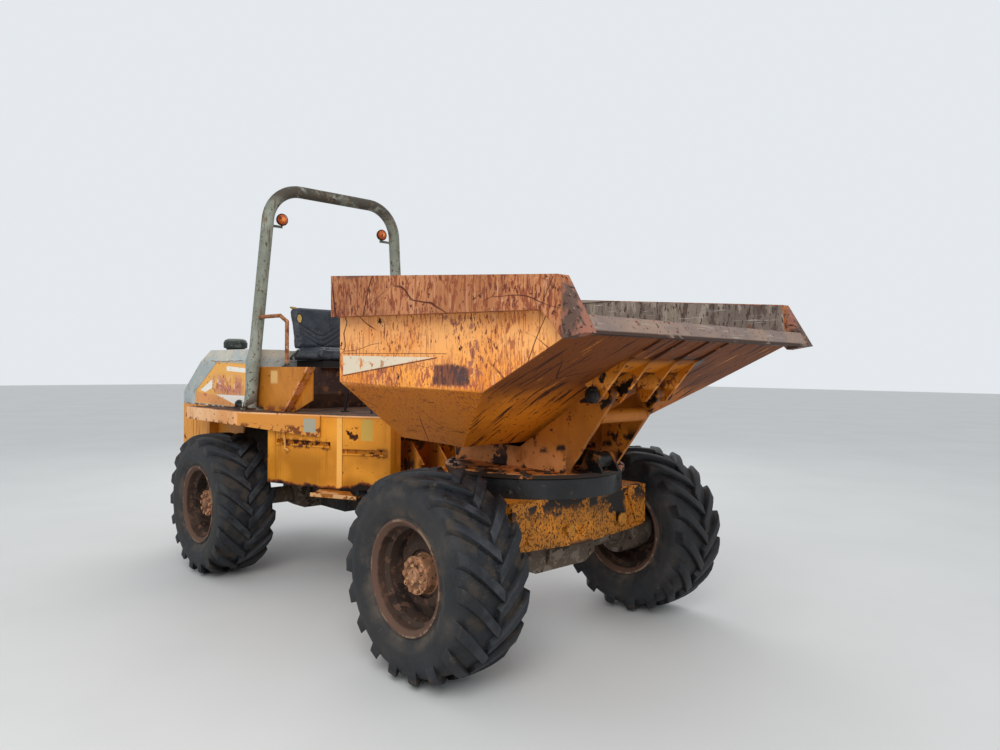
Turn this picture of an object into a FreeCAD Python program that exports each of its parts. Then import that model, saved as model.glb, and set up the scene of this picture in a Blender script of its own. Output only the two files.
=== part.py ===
"""Swivel-skip site dumper, full size, in millimetres.

Points are written from the ground under the front axle: X forward, Y left, Z up.
SHIFT moves every piece forward at export, so that X = 0 is the middle of the length.
"""

import math
import os

import FreeCAD
import Part

V = FreeCAD.Vector

# Driving sizes. The rear half is drawn with its pivot at PIVOT_DRAWN and its axle REAR_ARM behind
# that, and moves as one when the wheelbase changes. Everything is drawn with the axles at AXLE_Z
# and lifted at export when the tyres' radius changes.
LIP_X = 1067.0
REAR_X = -3660.0
JAW_X = -3720.0
WHEELBASE = 2533.0
REAR_ARM = 1583.0
PIVOT_DRAWN = -950.0
REAR_AXLE_X = PIVOT_DRAWN - REAR_ARM
PIVOT_X = REAR_ARM - WHEELBASE
REAR_MOVE = PIVOT_X - PIVOT_DRAWN
TYRE_R = 508.0
AXLE_Z = 508.0
LIFT = TYRE_R - AXLE_Z
TRACK_HALF = 828.0
SHIFT = -(LIP_X + JAW_X + REAR_MOVE) / 2
SPINDLE_R = 44.95
FRAME_HALF = TRACK_HALF - 283
RING_R = FRAME_HALF - 47
BODY_HALF = 690.0
SLEW_X = -120.0
HINGE = (560.0, 1380.0)
RAM_BASE = (360.0, 1025.0)
RAM_EYE = (-450.0, 1045.0)
DECK_Z = 1187.0
BONNET_HINGE = (-3671.0, 1187.0)
STEER_BARREL = (-1500.0, 300.0, 655.0)
STEER_EYE = (PIVOT_X + 250.0, 300.0, 655.0)
ROLL_BAR_X = -2390.0
SHAFT_Z = AXLE_Z
GAP = 0.3

# Ranges of the joints, in degrees
STEER_MAX = 33.0
SLEW_MAX = 90.0
TIP_MAX = 65.0
BONNET_MAX = 60.0

nodes = {}


def box(x0, x1, y0, y1, z0, z1):
    return Part.makeBox(x1 - x0, y1 - y0, z1 - z0, V(x0, y0, z0))


def prism(points, direction):
    wire = Part.makePolygon([V(*p) for p in points] + [V(*points[0])])
    return Part.Face(wire).extrude(V(*direction))


def side_prism(points, y0, y1):
    return prism([(x, y0, z) for x, z in points], (0, y1 - y0, 0))


def plan_prism(points, z0, z1):
    return prism([(x, y, z0) for x, y in points], (0, 0, z1 - z0))


def front_prism(points, x0, x1):
    return prism([(x0, y, z) for y, z in points], (x1 - x0, 0, 0))


def rod(p0, p1, r):
    a, b = V(*p0), V(*p1)
    return Part.makeCylinder(r, (b - a).Length, a, b - a)


def pipe(p0, p1, r_out, r_in):
    return rod(p0, p1, r_out).cut(rod(p0, p1, r_in))


def fuse(shapes):
    first, rest = shapes[0], shapes[1:]
    return (first.fuse(rest) if rest else first).removeSplitter()


def mirrored(shape):
    return shape.mirror(V(0, 0, 0), V(0, 1, 0))


def turned(profile, x, y, z, out):
    """Revolves (radius, width) points about the wheel's axle; width grows outwards."""
    pts = [V(x, y + out * w, z + r) for r, w in profile]
    face = Part.Face(Part.makePolygon(pts + [pts[0]]))
    return face.revolve(V(x, y, z), V(0, 1, 0), 360)


def solid_of(loops):
    """A closed solid from vertex loops; a loop of more than three is cut into triangles."""
    faces = []
    for loop in loops:
        for i in range(1, len(loop) - 1):
            tri = [V(*loop[0]), V(*loop[i]), V(*loop[i + 1])]
            faces.append(Part.Face(Part.makePolygon(tri + [tri[0]])))
    solid = Part.Solid(Part.makeShell(faces))
    if solid.Volume < 0:
        solid.reverse()
    return solid


# Wheels
LUGS = 18
LUG_SWEEP = 1.02
# distance from the middle, radius of a lug's foot and top, half widths of its foot and top
TREAD = (
    (0.0, 474.0, 508.0, 32.0, 24.0),
    (110.0, 470.0, 504.0, 34.0, 27.0),
    (192.0, 446.0, 480.0, 37.0, 30.0),
)
SIDE_WALL = ((425.0, 198.0), (370.0, 202.5), (283.0, 164.6), (257.5, 164.6))
BORE_R = 257.5
RIM_PROFILE = (
    (276, 178), (276, 165), (255.8, 165), (252, 112), (230, 98), (230, -98), (252, -112),
    (255.8, -165), (276, -165), (276, -178), (264, -178), (242, -158), (240, -118), (220, -102),
    (220, 14), (150, 46), (118, 46), (118, 58), (154, 58), (220, 30),
    (220, 102), (240, 118), (242, 158), (264, 178),
)
HUB_PROFILE = (
    (130, 46), (130, 24), (45, 14), (45, 82), (0.01, 82), (0.01, 124), (34, 124), (40, 108),
    (92, 106), (92, 46),
)
NUTS = dict(count=10, circle_r=72.0, r=13.0, from_w=100.0, to_w=122.0)


def tyre(y, out):
    """Faceted tyre with chevron lugs, from rows of lug feet and tops and rings down each side wall."""
    crown = (TYRE_R - BORE_R) / (AXLE_Z - BORE_R)

    def at(radius, width, angle):
        r = BORE_R + (radius - BORE_R) * crown
        return (r * math.sin(angle), y + out * width, AXLE_Z + r * math.cos(angle))

    def feet(hand):
        return [2 * math.pi * (n + (0 if hand > 0 else 0.5)) / LUGS for n in range(LUGS)]

    def row(hand, width, foot, top, half_foot, half_top):
        lean = LUG_SWEEP * width / AXLE_Z
        edge = ((foot, -half_foot), (top, -half_top), (top, half_top), (foot, half_foot))
        return [[at(r, hand * width, turn - lean + s / AXLE_Z) for r, s in edge] for turn in feet(hand)]

    rows = {hand: [row(hand, *values) for values in TREAD] for hand in (1, -1)}
    loops = []
    bores = []
    for hand in (1, -1):
        first, middle, last = rows[hand]
        across = rows[-hand][0]
        width, half_foot = TREAD[-1][0], TREAD[-1][3]
        angles = []
        for turn in feet(hand):
            mid = turn - LUG_SWEEP * width / AXLE_Z
            angles += [mid - half_foot / AXLE_Z, mid + half_foot / AXLE_Z]
        walls = [[at(r, hand * w, a) for a in angles] for r, w in SIDE_WALL]
        for n in range(LUGS):
            after = (n + 1) % LUGS
            between = across[n] if hand > 0 else across[after]
            for a, b in ((first, middle), (middle, last)):
                loops += [[a[n][i], a[n][i + 1], b[n][i + 1], b[n][i]] for i in range(3)]
            loops.append(first[n])
            seam = [first[n][3], between[0], between[3], first[after][0]]
            loops.append([middle[n][3]] + seam + [middle[after][0]])
            loops.append([middle[n][3], middle[after][0], last[after][0], last[n][3]])
            r0, r1, r2 = (walls[0][(2 * n + k) % (2 * LUGS)] for k in range(3))
            loops.append([last[n][1], last[n][2], r1, r0])
            loops.append([last[n][0], last[n][1], r0])
            loops.append([last[n][2], last[n][3], r1])
            loops.append([last[n][3], last[after][0], r2, r1])
        for a, b in zip(walls, walls[1:]):
            for i in range(2 * LUGS):
                j = (i + 1) % (2 * LUGS)
                loops.append([a[i], a[j], b[j], b[i]])
        bores.append(walls[-1])
    near, far = bores
    gap = [math.dist((near[0][0], near[0][2]), (p[0], p[2])) for p in far]
    start = gap.index(min(gap))
    start += start % 2
    for i in range(2 * LUGS):
        j = (i + 1) % (2 * LUGS)
        a, b = far[(start + i) % (2 * LUGS)], far[(start + j) % (2 * LUGS)]
        loops.append([near[i], near[j], b, a])
    return solid_of(loops)


def wheel(tag, x, side):
    y = side * TRACK_HALF
    casing = tyre(y, side)
    casing.translate(V(x, 0, 0))
    put("tyre_" + tag, casing)
    hub = [turned(RIM_PROFILE, x, y, AXLE_Z, side), turned(HUB_PROFILE, x, y, AXLE_Z, side)]
    for i in range(NUTS["count"]):
        a = 2 * math.pi * i / NUTS["count"]
        px = x + NUTS["circle_r"] * math.cos(a)
        pz = AXLE_Z + NUTS["circle_r"] * math.sin(a)
        hub.append(rod((px, y + side * NUTS["from_w"], pz), (px, y + side * NUTS["to_w"], pz), NUTS["r"]))
    put("rim_" + tag, fuse(hub))


def put(name, shape):
    nodes[name] = shape


def axle(name, x):
    """Housing with the differential in the middle, tubes, brake drums and spindles."""
    z = AXLE_Z
    half = ((-290, z - 62), (-200, z - 108), (200, z - 108), (290, z - 62),
            (290, z + 70), (200, z + 92), (-200, z + 92), (-290, z + 70))
    tube = TRACK_HALF - 208
    parts = [front_prism(half, x - 92, x + 92), rod((x, -120, z), (x, 120, z), 118)]
    parts.append(rod((x, -tube, z), (x, tube, z), 62))
    if name == "front_axle":
        shaft = rod((x - 100, 0, SHAFT_Z), (PIVOT_X + 30, 0, SHAFT_Z), 24)
        flange = rod((x - 100, 0, SHAFT_Z), (x - 170, 0, SHAFT_Z), 52)
        cup = rod((PIVOT_X + 60, 0, SHAFT_Z), (PIVOT_X + 24, 0, SHAFT_Z), 36)
        parts.append(shaft.fuse([flange, cup]).cut(Part.makeSphere(37.3, V(PIVOT_X, 0, SHAFT_Z))))
        for side in (1, -1):
            parts.append(box(-80, 80, *sorted((side * 292, side * 356)), z + 10, z + 66))
    for side in (1, -1):
        parts.append(rod((x, side * (TRACK_HALF - 238), z), (x, side * (TRACK_HALF - 28), z), 132))
        parts.append(rod((x, side * (TRACK_HALF - 38), z), (x, side * (TRACK_HALF + 74), z), SPINDLE_R))
        parts.append(rod((x, side * (TRACK_HALF - 262), z), (x, side * (TRACK_HALF - 238), z), 84))
    put(name, fuse(parts))


# Front chassis
def front_chassis():
    """Top and bottom plates that narrow back to the pivot, two rails, the front plate and its wings."""
    p, f = PIVOT_X, FRAME_HALF
    shoulder, waist, tail = 0.347 * p, 0.589 * p, 0.842 * p
    top = plan_prism(
        ((250, -f), (250, f), (60, f), (shoulder, f), (waist, 330), (tail, 130), (p, 92),
         (p, -92), (tail, -130), (waist, -330), (shoulder, -f), (60, -f)), 812, 836)
    bottom = plan_prism(
        ((-160, -290), (-160, 290), (waist, 290), (tail, 130), (p, 92),
         (p, -92), (tail, -130), (waist, -290)), 560, 584)
    face = ((-f, 600), (105 - f, 586), (0, 562), (f - 105, 586), (f, 600), (f, 836), (-f, 836))
    parts = [top, bottom, front_prism(face, 226, 250)]
    for z0 in (812, 560):
        parts.append(Part.makeCylinder(92, 24, V(p, 0, z0)))
    for side in (1, -1):
        web = ((226, 600), (waist, 600), (waist, 814), (226, 814))
        parts.append(side_prism(web, side * 300, side * 322))
        parts.append(box(-90, 90, *sorted((side * 300, side * 358)), 574 + GAP, 601))
        neck = [(waist + 5, side * 300, 570), (tail + 20, side * 128, 570),
                (tail + 20, side * 128, 814), (waist + 5, side * 300, 814)]
        parts.append(prism(neck, (0, side * 16, 0)))
        parts.append(side_prism(((60, 814), (228, 814), (228, 600), (180, 600)), side * (f - 16), side * f))
        wing = ((f, 612), (f - 83, 622), (f - 173, 812), (f - 155, 834), (f, 834))
        parts.append(front_prism([(side * y, z) for y, z in wing], 249, 262))
        for z0 in (612, 678):
            lug = ((310, 205), (295, 300), (275, 334), (225, 334), (205, 300), (175, 130))
            parts.append(plan_prism([(p + x, side * y) for x, y in lug], z0, z0 + 20))
    frame = fuse(parts).cut(Part.makeCylinder(30.05, 400, V(p, 0, 500)))
    bosses = [rod((250, y, z), (264, y, z), 26) for y, z in ((f - 137, 640), (137 - f, 640), (0, 632))]
    put("front_frame", frame.fuse(bosses).removeSplitter())
    put("slew_ring", pipe((SLEW_X, 0, 836 + GAP), (SLEW_X, 0, 936), RING_R, RING_R - 66))


# Turntable
ARM = ((-560, 966), (318, 966), (332, 995), (600, 1352), (606, 1380), (596, 1408), (574, 1424), (548, 1424),
       (524, 1410), (420, 1360), (-40, 1073), (-150, 1038), (-340, 1010), (-585, 990))


def turntable():
    plate = Part.makeCylinder(RING_R + 14, 24, V(SLEW_X, 0, 942))
    race = pipe((SLEW_X, 0, 842), (SLEW_X, 0, 943), RING_R - 66.4, RING_R - 108)
    put("turntable_plate", fuse([plate, race]))
    hole_r = 24.05
    arms = [rod((500, -180, 1268), (500, 180, 1268), 36)]
    for side in (1, -1):
        arm = side_prism(ARM, side * 178, side * 202)
        arm = arm.fuse(rod((HINGE[0], side * 172, HINGE[1]), (HINGE[0], side * 208, HINGE[1]), 44))
        arm = arm.cut(rod((HINGE[0], side * 160, HINGE[1]), (HINGE[0], side * 220, HINGE[1]), hole_r))
        arms.append(arm)
    put("arms", fuse(arms))
    cheek = ((280, 966), (440, 966), (402, 1040), (385, 1066), (335, 1066), (318, 1040))
    lugs = [side_prism(cheek, side * 58, side * 76) for side in (1, -1)]
    x, z = RAM_BASE
    for side in (1, -1):
        lugs.append(rod((x, side * 53, z), (x, side * 88, z), 24))
    lugs.append(rod((x, -60, z), (x, 60, z), 19.95))
    put("ram_base", fuse(lugs))


# Tipping ram
def unit(a, b):
    d = V(b[0] - a[0], 0, b[1] - a[1])
    d.normalize()
    return d


def tipping_ram():
    d = unit(RAM_BASE, RAM_EYE)
    base = V(RAM_BASE[0], 0, RAM_BASE[1])
    eye = V(RAM_EYE[0], 0, RAM_EYE[1])
    start, end = base + d * 20, base + d * 640
    barrel = Part.makeCylinder(45, (end - start).Length, start, d)
    knuckle = rod((base.x, -52, base.z), (base.x, 52, base.z), 40)
    bore = rod((base.x, -60, base.z), (base.x, 60, base.z), 20.0)
    inside = Part.makeCylinder(25.05, 560, end - d * 555, d)
    put("ram_barrel", barrel.fuse(knuckle).cut(bore).cut(inside).removeSplitter())
    rod_start = end - d * 500
    stem = Part.makeCylinder(25.0, (eye - rod_start).Length, rod_start, d)
    head = rod((eye.x, -39, eye.z), (eye.x, 39, eye.z), 36)
    put("ram_rod", fuse([stem, head]))


# Skip
OUTER = dict(
    rear_top=(-775, 890, 2004), rear_mid=(-775, 890, 1424), rear_low=(-585, 600, 1111),
    floor_front=(-50, 600, 1098), bend=(426, 890, 1395), lip=(950, 890, 1647), front_top=(921, 890, 1866),
)


def plane(a, b, c, t):
    """Plane through three points, pushed t along its normal, as (n, n.p)."""
    a, b, c = V(*a), V(*b), V(*c)
    n = (b - a).cross(c - a)
    n.normalize()
    return n, n.dot(a) + t


def meet(p, q, r):
    n1, d1 = p
    n2, d2 = q
    n3, d3 = r
    det = n1.dot(n2.cross(n3))
    return tuple((n2.cross(n3) * d1 + n3.cross(n1) * d2 + n1.cross(n2) * d3) * (1 / det))


def tub(corner, top_extra):
    """Loops of a skip-shaped solid from its left-hand corners, mirrored to the right."""
    left = {k: tuple(v) for k, v in corner.items()}
    right = {k: (v[0], -v[1], v[2]) for k, v in left.items()}
    order = ("rear_top", "rear_mid", "rear_low", "floor_front", "bend", "lip", "front_top")
    loops = []
    for i, name in enumerate(order):
        nxt = order[(i + 1) % len(order)]
        loops.append([left[name], left[nxt], right[nxt], right[name]])
    wall = ("rear_top", "rear_mid", "bend", "lip", "front_top")
    skirt = ("rear_mid", "rear_low", "floor_front", "bend")
    for s, rev in ((left, True), (right, False)):
        for group in (wall, skirt):
            loop = [s[n] for n in group]
            loops.append(loop[::-1] if rev else loop)
    return solid_of(loops)


def skip():
    t = 8.0
    c = OUTER
    flip = lambda p: (p[0], -p[1], p[2])
    wall = (V(0, 1, 0), 890 - t)
    rear = (V(1, 0, 0), -775 + t)
    low_rear = plane(c["rear_mid"], flip(c["rear_mid"]), c["rear_low"], 0)
    floor = plane(c["rear_low"], flip(c["rear_low"]), c["floor_front"], 0)
    low_front = plane(c["floor_front"], flip(c["floor_front"]), c["bend"], 0)
    spout = plane(c["bend"], flip(c["bend"]), c["lip"], 0)
    panel = plane(c["rear_low"], c["floor_front"], c["bend"], 0)
    inside = V(-100, 0, 1500)

    def inward(p):
        n, d = p
        if n.dot(inside) < d:
            n, d = n * -1, -d
        return n, d + t

    low_rear, floor, low_front, spout, panel = map(inward, (low_rear, floor, low_front, spout, panel))
    bend = meet(wall, low_front, spout)
    rear_mid = meet(rear, wall, panel)
    lip_in = meet(wall, spout, (V(1, 0, 0), 1200.0))
    inner = dict(
        rear_top=(-775 + t, 890 - t, 2300), rear_mid=rear_mid, rear_low=meet(low_rear, floor, panel),
        floor_front=meet(floor, low_front, panel), bend=bend, lip=lip_in, front_top=(1200, 890 - t, 2300),
    )
    edge = ((-775, 2004), (-745, 2004), (-745, 1984), (-767, 1962), (-767, 1950), (-775, 1950))
    rail = side_prism(edge, -890, 890)
    put("skip_shell", fuse([tub(OUTER, 0).cut(tub(inner, 0)), rail]))
    band = ((-765, 2006), (-762, 1780), (838, 1738), (950, 1621), (LIP_X, 1640), (925, 1870))
    for tag, side in (("left", 1), ("right", -1)):
        put("rim_band_" + tag, side_prism(band, side * 890, side * 956))
    y = 890 - GAP
    lip = ((950.3, 1648), (952, 1640), (LIP_X, 1638), (1025, 1712), (990, 1712), (962, 1672))
    put("lip_beam", side_prism(lip, -y, y))
    ears = []

    def under(x, drop=GAP):
        """Height of the spout's underside at x, less a drop."""
        (x0, _, z0), (x1, _, z1) = c["bend"], c["lip"]
        return z0 + (x - x0) * (z1 - z0) / (x1 - x0) - drop

    blade = ((512, under(512)), (522, 1360), (548, 1338), (576, 1338), (598, 1362),
             (760, under(760, 8)), (760, under(760)))
    doubler = ((640, under(640)), (760, under(760)), (760, under(760, 8)), (640, under(640, 8)))
    rib = ((500, under(500)), (940, under(940)), (940, under(940, 8)), (760, under(760, 14)),
           (500, under(500, 8)))
    for y in (106, -106, 284, -284):
        pin_hole = rod((HINGE[0], y - 20, HINGE[1]), (HINGE[0], y + 20, HINGE[1]), 24.0)
        ears.append(side_prism(blade, y - 8, y + 8).cut(pin_hole))
        ears.append(side_prism(rib, y - 8, y + 8))
    ears.append(side_prism(doubler, -292, 292))
    for side in (1, -1):
        ears.append(rod((HINGE[0], side * 92, HINGE[1]), (HINGE[0], side * 300, HINGE[1]), 24.0))
    put("skip_hinge", fuse(ears))
    x, z = RAM_EYE
    cheek = ((x - 90, z + 66), (x - 36, z - 10), (x - 20, z - 36), (x + 20, z - 36), (x + 36, z - 10),
             (x + 80, z + 62))
    lugs = [side_prism(cheek, s * 40, s * 56) for s in (1, -1)]

    def floor_z(px, drop=GAP):
        (x0, _, z0), (x1, _, z1) = c["rear_low"], c["floor_front"]
        return z0 + (px - x0) * (z1 - z0) / (x1 - x0) - drop

    x0, x1 = x - 110, x + 90
    below = side_prism(((x0, z - 60), (x1, z - 60), (x1, floor_z(x1)), (x0, floor_z(x0))), -80, 80)
    lugs = [lug.common(below) for lug in lugs]
    pad = ((x0, floor_z(x0)), (x1, floor_z(x1)), (x1, floor_z(x1, 8)), (x0, floor_z(x0, 8)))
    plate = side_prism(pad, -70, 70)
    stubs = [rod((x, s * 42, z), (x, s * 68, z), 20) for s in (1, -1)]
    put("ram_bracket", fuse(lugs + [plate] + stubs))


# Rear chassis
DECK = ((-3100, 870), (-2220, 870), (-1546, 578), (-1392, 503), (-1105, 320))
# outer corners of a side tank in plan, from its front inner corner back
TANK = ((-1112, 312), (-1392, 495), (-1560, 568), (-2010, 718))
TANK_INNER_Y = 232.0
# footholds pressed into the tank: start and end in plan along its faces, height of the slot
FOOTHOLDS = (((-1135, 327), (-1392, 495), 932), ((-1480, 540), (-1930, 691), 972))
STEP = ((-1560, 566), (-1384, 735), (-1076, 592), (-1340, 470))


def rear_frame():
    """Rails, cross plates, axle pads, the pivot post with its gussets, and the steering rams' lugs."""
    parts = []
    for side in (1, -1):
        parts.append(box(-3600 + GAP, -1300, *sorted((side * 180, side * 205)), 620, 800))
        pad = sorted((side * 150, side * 220))
        parts.append(box(REAR_AXLE_X - 90, REAR_AXLE_X + 90, *pad, 600 + GAP, 622))
        for x, y in ((-1240, 150), (-1720, 195)):
            parts.append(box(x, x + 20, *sorted((side * y, side * (TANK_INNER_Y - GAP))), 705, 765))
        neck = [(-1310, side * 180, 620), (-1060, side * 50, 620), (-1060, side * 50, 740),
                (-1310, side * 180, 800)]
        parts.append(prism(neck, (0, side * 25, 0)))
        gusset = ((-1250, 720), (-1250, 1000), (-1172, 1010), (-1030, 868), (-1062, 862), (-1062, 720))
        parts.append(side_prism(gusset, side * 96, side * 108))
        for z0 in (612, 679):
            lug = ((-1440, 200), (-1462, 320), (-1538, 320), (-1560, 200))
            parts.append(plan_prism([(x, side * y) for x, y in lug], z0, z0 + 20))
        parts.append(rod((-1500, side * 300, 620), (-1500, side * 300, 690), 17.95))
        arm = ((-1560, 205), (-1560, 566), (-1500, 600), (-1500, 205))
        for plan in (arm, STEP):
            parts.append(plan_prism([(x, side * y) for x, y in plan], 684, 692))
        (x0, y0), (x1, y1) = STEP[1:3]
        lip = [(x0, side * y0, 684), (x1, side * y1, 684), (x1, side * y1, 708), (x0, side * y0, 708)]
        parts.append(prism(lip, (-3.2, side * -7, 0)))
    parts.append(box(-1250, -1238, -108, 108, 720, 1000))
    parts.append(box(-1060, PIVOT_DRAWN, -75, 75, 604, 780))
    parts.append(Part.makeCylinder(75, 176, V(PIVOT_DRAWN, 0, 604)))
    for x in (-1320, -1860, -2780):
        parts.append(box(x, x + 20, -185, 185, 630, 790))
    pin = Part.makeCylinder(30.0, 294, V(PIVOT_DRAWN, 0, 552))
    head = Part.makeCylinder(44, 14, V(PIVOT_DRAWN, 0, 836 + 5))
    put("rear_frame", fuse([fuse(parts), pin, head]))


def tanks():
    """Folded side tanks under the deck, each with two footholds and a rolled edge below them."""
    outline = list(TANK) + [(TANK[-1][0], TANK_INNER_Y), (TANK[0][0], TANK_INNER_Y)]
    for tag, side in (("left", 1), ("right", -1)):
        tank = plan_prism([(x, side * y) for x, y in outline], 700, DECK_Z - 12 - GAP)
        for (x0, y0), (x1, y1), z0 in FOOTHOLDS:
            length = math.dist((x0, y0), (x1, y1))
            out = V((y1 - y0) / length, -(x1 - x0) / length * side, 0)
            if out.y * side < 0:
                out = out * -1
            a, b = V(x0, side * y0, z0), V(x1, side * y1, z0)
            slot = [a - out * 34, a + out * 5, a + out * 5 + V(0, 0, 36), a - out * 34 + V(0, 0, 36)]
            tank = tank.cut(prism([tuple(p) for p in slot], tuple(b - a)))
            tank = tank.fuse(rod(tuple(a), tuple(b), 8))
        put("tank_" + tag, tank.removeSplitter())


# Grille bars and lamps in the rear plate
GRILLE = dict(y=420.0, z0=820.0, z1=1120.0, bars=11)
LAMP = dict(y=(500.0, 640.0), z=(1010.0, 1100.0), depth=16.0)


def rear_body():
    """Ballast plate across the back with a radiator grille, quarter panels and the bonnet's hinge pins."""
    window = box(REAR_X - 5, REAR_X + 36, -GRILLE["y"], GRILLE["y"], GRILLE["z0"], GRILLE["z1"])
    body = [box(REAR_X, -3600, -BODY_HALF, BODY_HALF, 640, DECK_Z).cut(window)]
    pitch = (GRILLE["z1"] - GRILLE["z0"]) / GRILLE["bars"]
    for i in range(GRILLE["bars"]):
        z = GRILLE["z0"] + pitch * (i + 0.5)
        slat = ((REAR_X + 4, z - 12), (REAR_X + 40, z + 2), (REAR_X + 40, z + 8), (REAR_X + 4, z - 6))
        body.append(side_prism(slat, -GRILLE["y"] - 1, GRILLE["y"] + 1))
    for y in (-140, 140):
        body.append(box(REAR_X + 2, REAR_X + 30, y - 6, y + 6, GRILLE["z0"] - 1, GRILLE["z1"] + 1))
    for side in (1, -1):
        wall_y = TRACK_HALF - 224
        quarter = sorted((side * (BODY_HALF - 20), side * BODY_HALF))
        body.append(box(-3600, -3106.3, *quarter, 700, DECK_Z))
        body.append(box(-3130, -3106.3, *sorted((side * (wall_y - 4), side * BODY_HALF)), 700, DECK_Z))
        top = DECK_Z - 12 - GAP
        wall = ((-3110, 760), (-3110, top), (-2600, top), (-2600, 1120), (-2640, 1000), (-2640, 830))
        body.append(side_prism(wall, side * wall_y, side * (wall_y + 12)))
        x, z = BONNET_HINGE
        y = side * 450
        body.append(rod((x, y, z), (x, y - side * 40, z), 10))
        body.append(box(x, x + 14, *sorted((y, y - side * 40)), z - 30, z))
        body.append(rod((x, y - side * 40, z), (x, y + side * 42, z), 4.95))
    put("rear_body", fuse(body))
    for tag, side in (("left", 1), ("right", -1)):
        y0, y1 = sorted(side * y for y in LAMP["y"])
        face = REAR_X - GAP
        case = box(face - LAMP["depth"], face, y0, y1, *LAMP["z"])
        lenses = [rod((face - 20, y, 1055), (face - 2, y, 1055), 28) for y in (y0 + 38, y1 - 38)]
        put("tail_lamp_" + tag, fuse([case] + lenses))


def deck():
    """Floor plate with the mudguard skirts hanging from its edges."""
    guards = []
    for side in (1, -1):
        guards.append(box(-3100, -2220, *sorted((side * 864, side * 870)), 1093, DECK_Z))
        taper = [(-2220, side * 870, 1093), (-1546, side * 578, 1037),
                 (-1546, side * 578, DECK_Z), (-2220, side * 870, DECK_Z)]
        guards.append(prism(taper, (-2.4, side * -5.5, 0)))
        guards.append(box(-3106, -3100, *sorted((side * 700, side * 870)), 1093, DECK_Z))
    outline = [(-3100, 863), (-2222, 863), (-1552, 572)] + list(DECK[3:])
    plan = outline + [(x, -y) for x, y in reversed(outline)]
    plate = plan_prism(plan, DECK_Z - 12, DECK_Z).cut(box(-3200, -2440, -600, 600, 1100, 1300))
    put("deck", fuse([plate] + guards))


# Bonnet: rear bottom, rear knee, top rear and top front corners seen from the side
BONNET_SIDE = ((-3660, DECK_Z + 0.5), (-3660, 1292), (-3157, 1634), (-2445, 1634), (-2445, DECK_Z + 0.5))
BONNET_PANEL = ((-3398, 1199), (-3398, 1300), (-2966, 1537), (-2445, 1528), (-2445, 1199))
BONNET_T = 6.0
CAP_AT = (-3052.0, -500.0)
CAP_PROFILE = (
    (0.0, 0.0), (70.0, 0.0), (70.0, 14.0), (92.0, 22.0),
    (93.0, 62.0), (82.0, 84.0), (58.0, 95.0), (0.0, 97.0),
)


def bonnet():
    """Engine cover: side panels, top, rear slope, with a bay for the seat at its front."""
    t = BONNET_T
    (_, base), (x_back, knee), (x_top, top), (x_front, _), _ = BONNET_SIDE
    outer = side_prism(BONNET_SIDE, -BODY_HALF, BODY_HALF)
    inside = ((x_back + t, base - 80), (x_back + t, knee - 3), (x_top + 2, top - t), (x_front - t, top - t),
              (x_front - t, base - 80))
    inner = side_prism(inside, t - BODY_HALF, BODY_HALF - t)
    for s in (1, -1):
        w = BODY_HALF
        shoulder = [(-3700, s * w, 1545), (-3700, s * (w - 30), 1636), (-3700, s * (w + 10), 1636)]
        outer = outer.cut(prism(shoulder, (1300, 0, 0)))
        w = BODY_HALF - t
        shoulder = [(-3700, s * w, 1543), (-3700, s * (w - 30), 1630), (-3700, s * (w + 16), 1630)]
        inner = inner.cut(prism(shoulder, (1300, 0, 0)))
        outer = outer.cut(side_prism(BONNET_PANEL, s * (BODY_HALF - 3), s * (BODY_HALF + 2)))
    bay = box(-2720, -2400, -336, 336, 1100, 1700)
    bay_wall = box(-2726, -2400, -342, 342, 1100, 1700)
    parts = [outer.cut(inner.cut(bay_wall)).cut(bay)]
    x, z = BONNET_HINGE
    for s in (1, -1):
        y = s * (450 + GAP)
        knuckle = rod((x, y, z), (x, y + s * 40, z), 10)
        knuckle = knuckle.fuse(box(x, x + 12, *sorted((y, y + s * 40)), z + 1, z + 34))
        parts.append(knuckle.cut(rod((x, y - s * 5, z), (x, y + s * 50, z), 5.0)))
    put("bonnet", fuse(parts))
    cx, cy = CAP_AT
    ring = [V(cx + r, cy, top + GAP + h) for r, h in CAP_PROFILE]
    cap = Part.Face(Part.makePolygon(ring + [ring[0]])).revolve(V(cx, cy, 0), V(0, 0, 1), 360)
    put("intake_cap", cap)


# Driver's place
CONSOLE = ((-2435, 1504), (-1655, 1504), (-1985, 1187.3))
CONSOLE_INNER = ((-2300, 1504), (-1700, 1504), (-1700, 1276), (-1870, 1212), (-1960, 1187.3), (-2300, 1187.3))


def engine():
    z0 = 800 + GAP
    block = box(-3480, -2780, -290, 290, z0, 1380)
    put("engine_block", block.fuse(box(-3400, -2850, -160, 160, 560, z0 + 10)).removeSplitter())
    gear = [box(-2250, -1900, -165, 165, 440, 740), box(-2150, -2000, -180 + GAP, 180 - GAP, 640, 720)]
    gear.append(rod((-1900, 0, SHAFT_Z), (PIVOT_DRAWN, 0, SHAFT_Z), 24))
    gear.append(Part.makeSphere(37, V(PIVOT_DRAWN, 0, SHAFT_Z)))
    gear.append(rod((-1880, 0, SHAFT_Z), (-1910, 0, SHAFT_Z), 52))
    gear.append(rod((-2250, 0, SHAFT_Z), (REAR_AXLE_X + 118 + GAP, 0, SHAFT_Z), 24))
    put("gearbox", fuse(gear))


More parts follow.
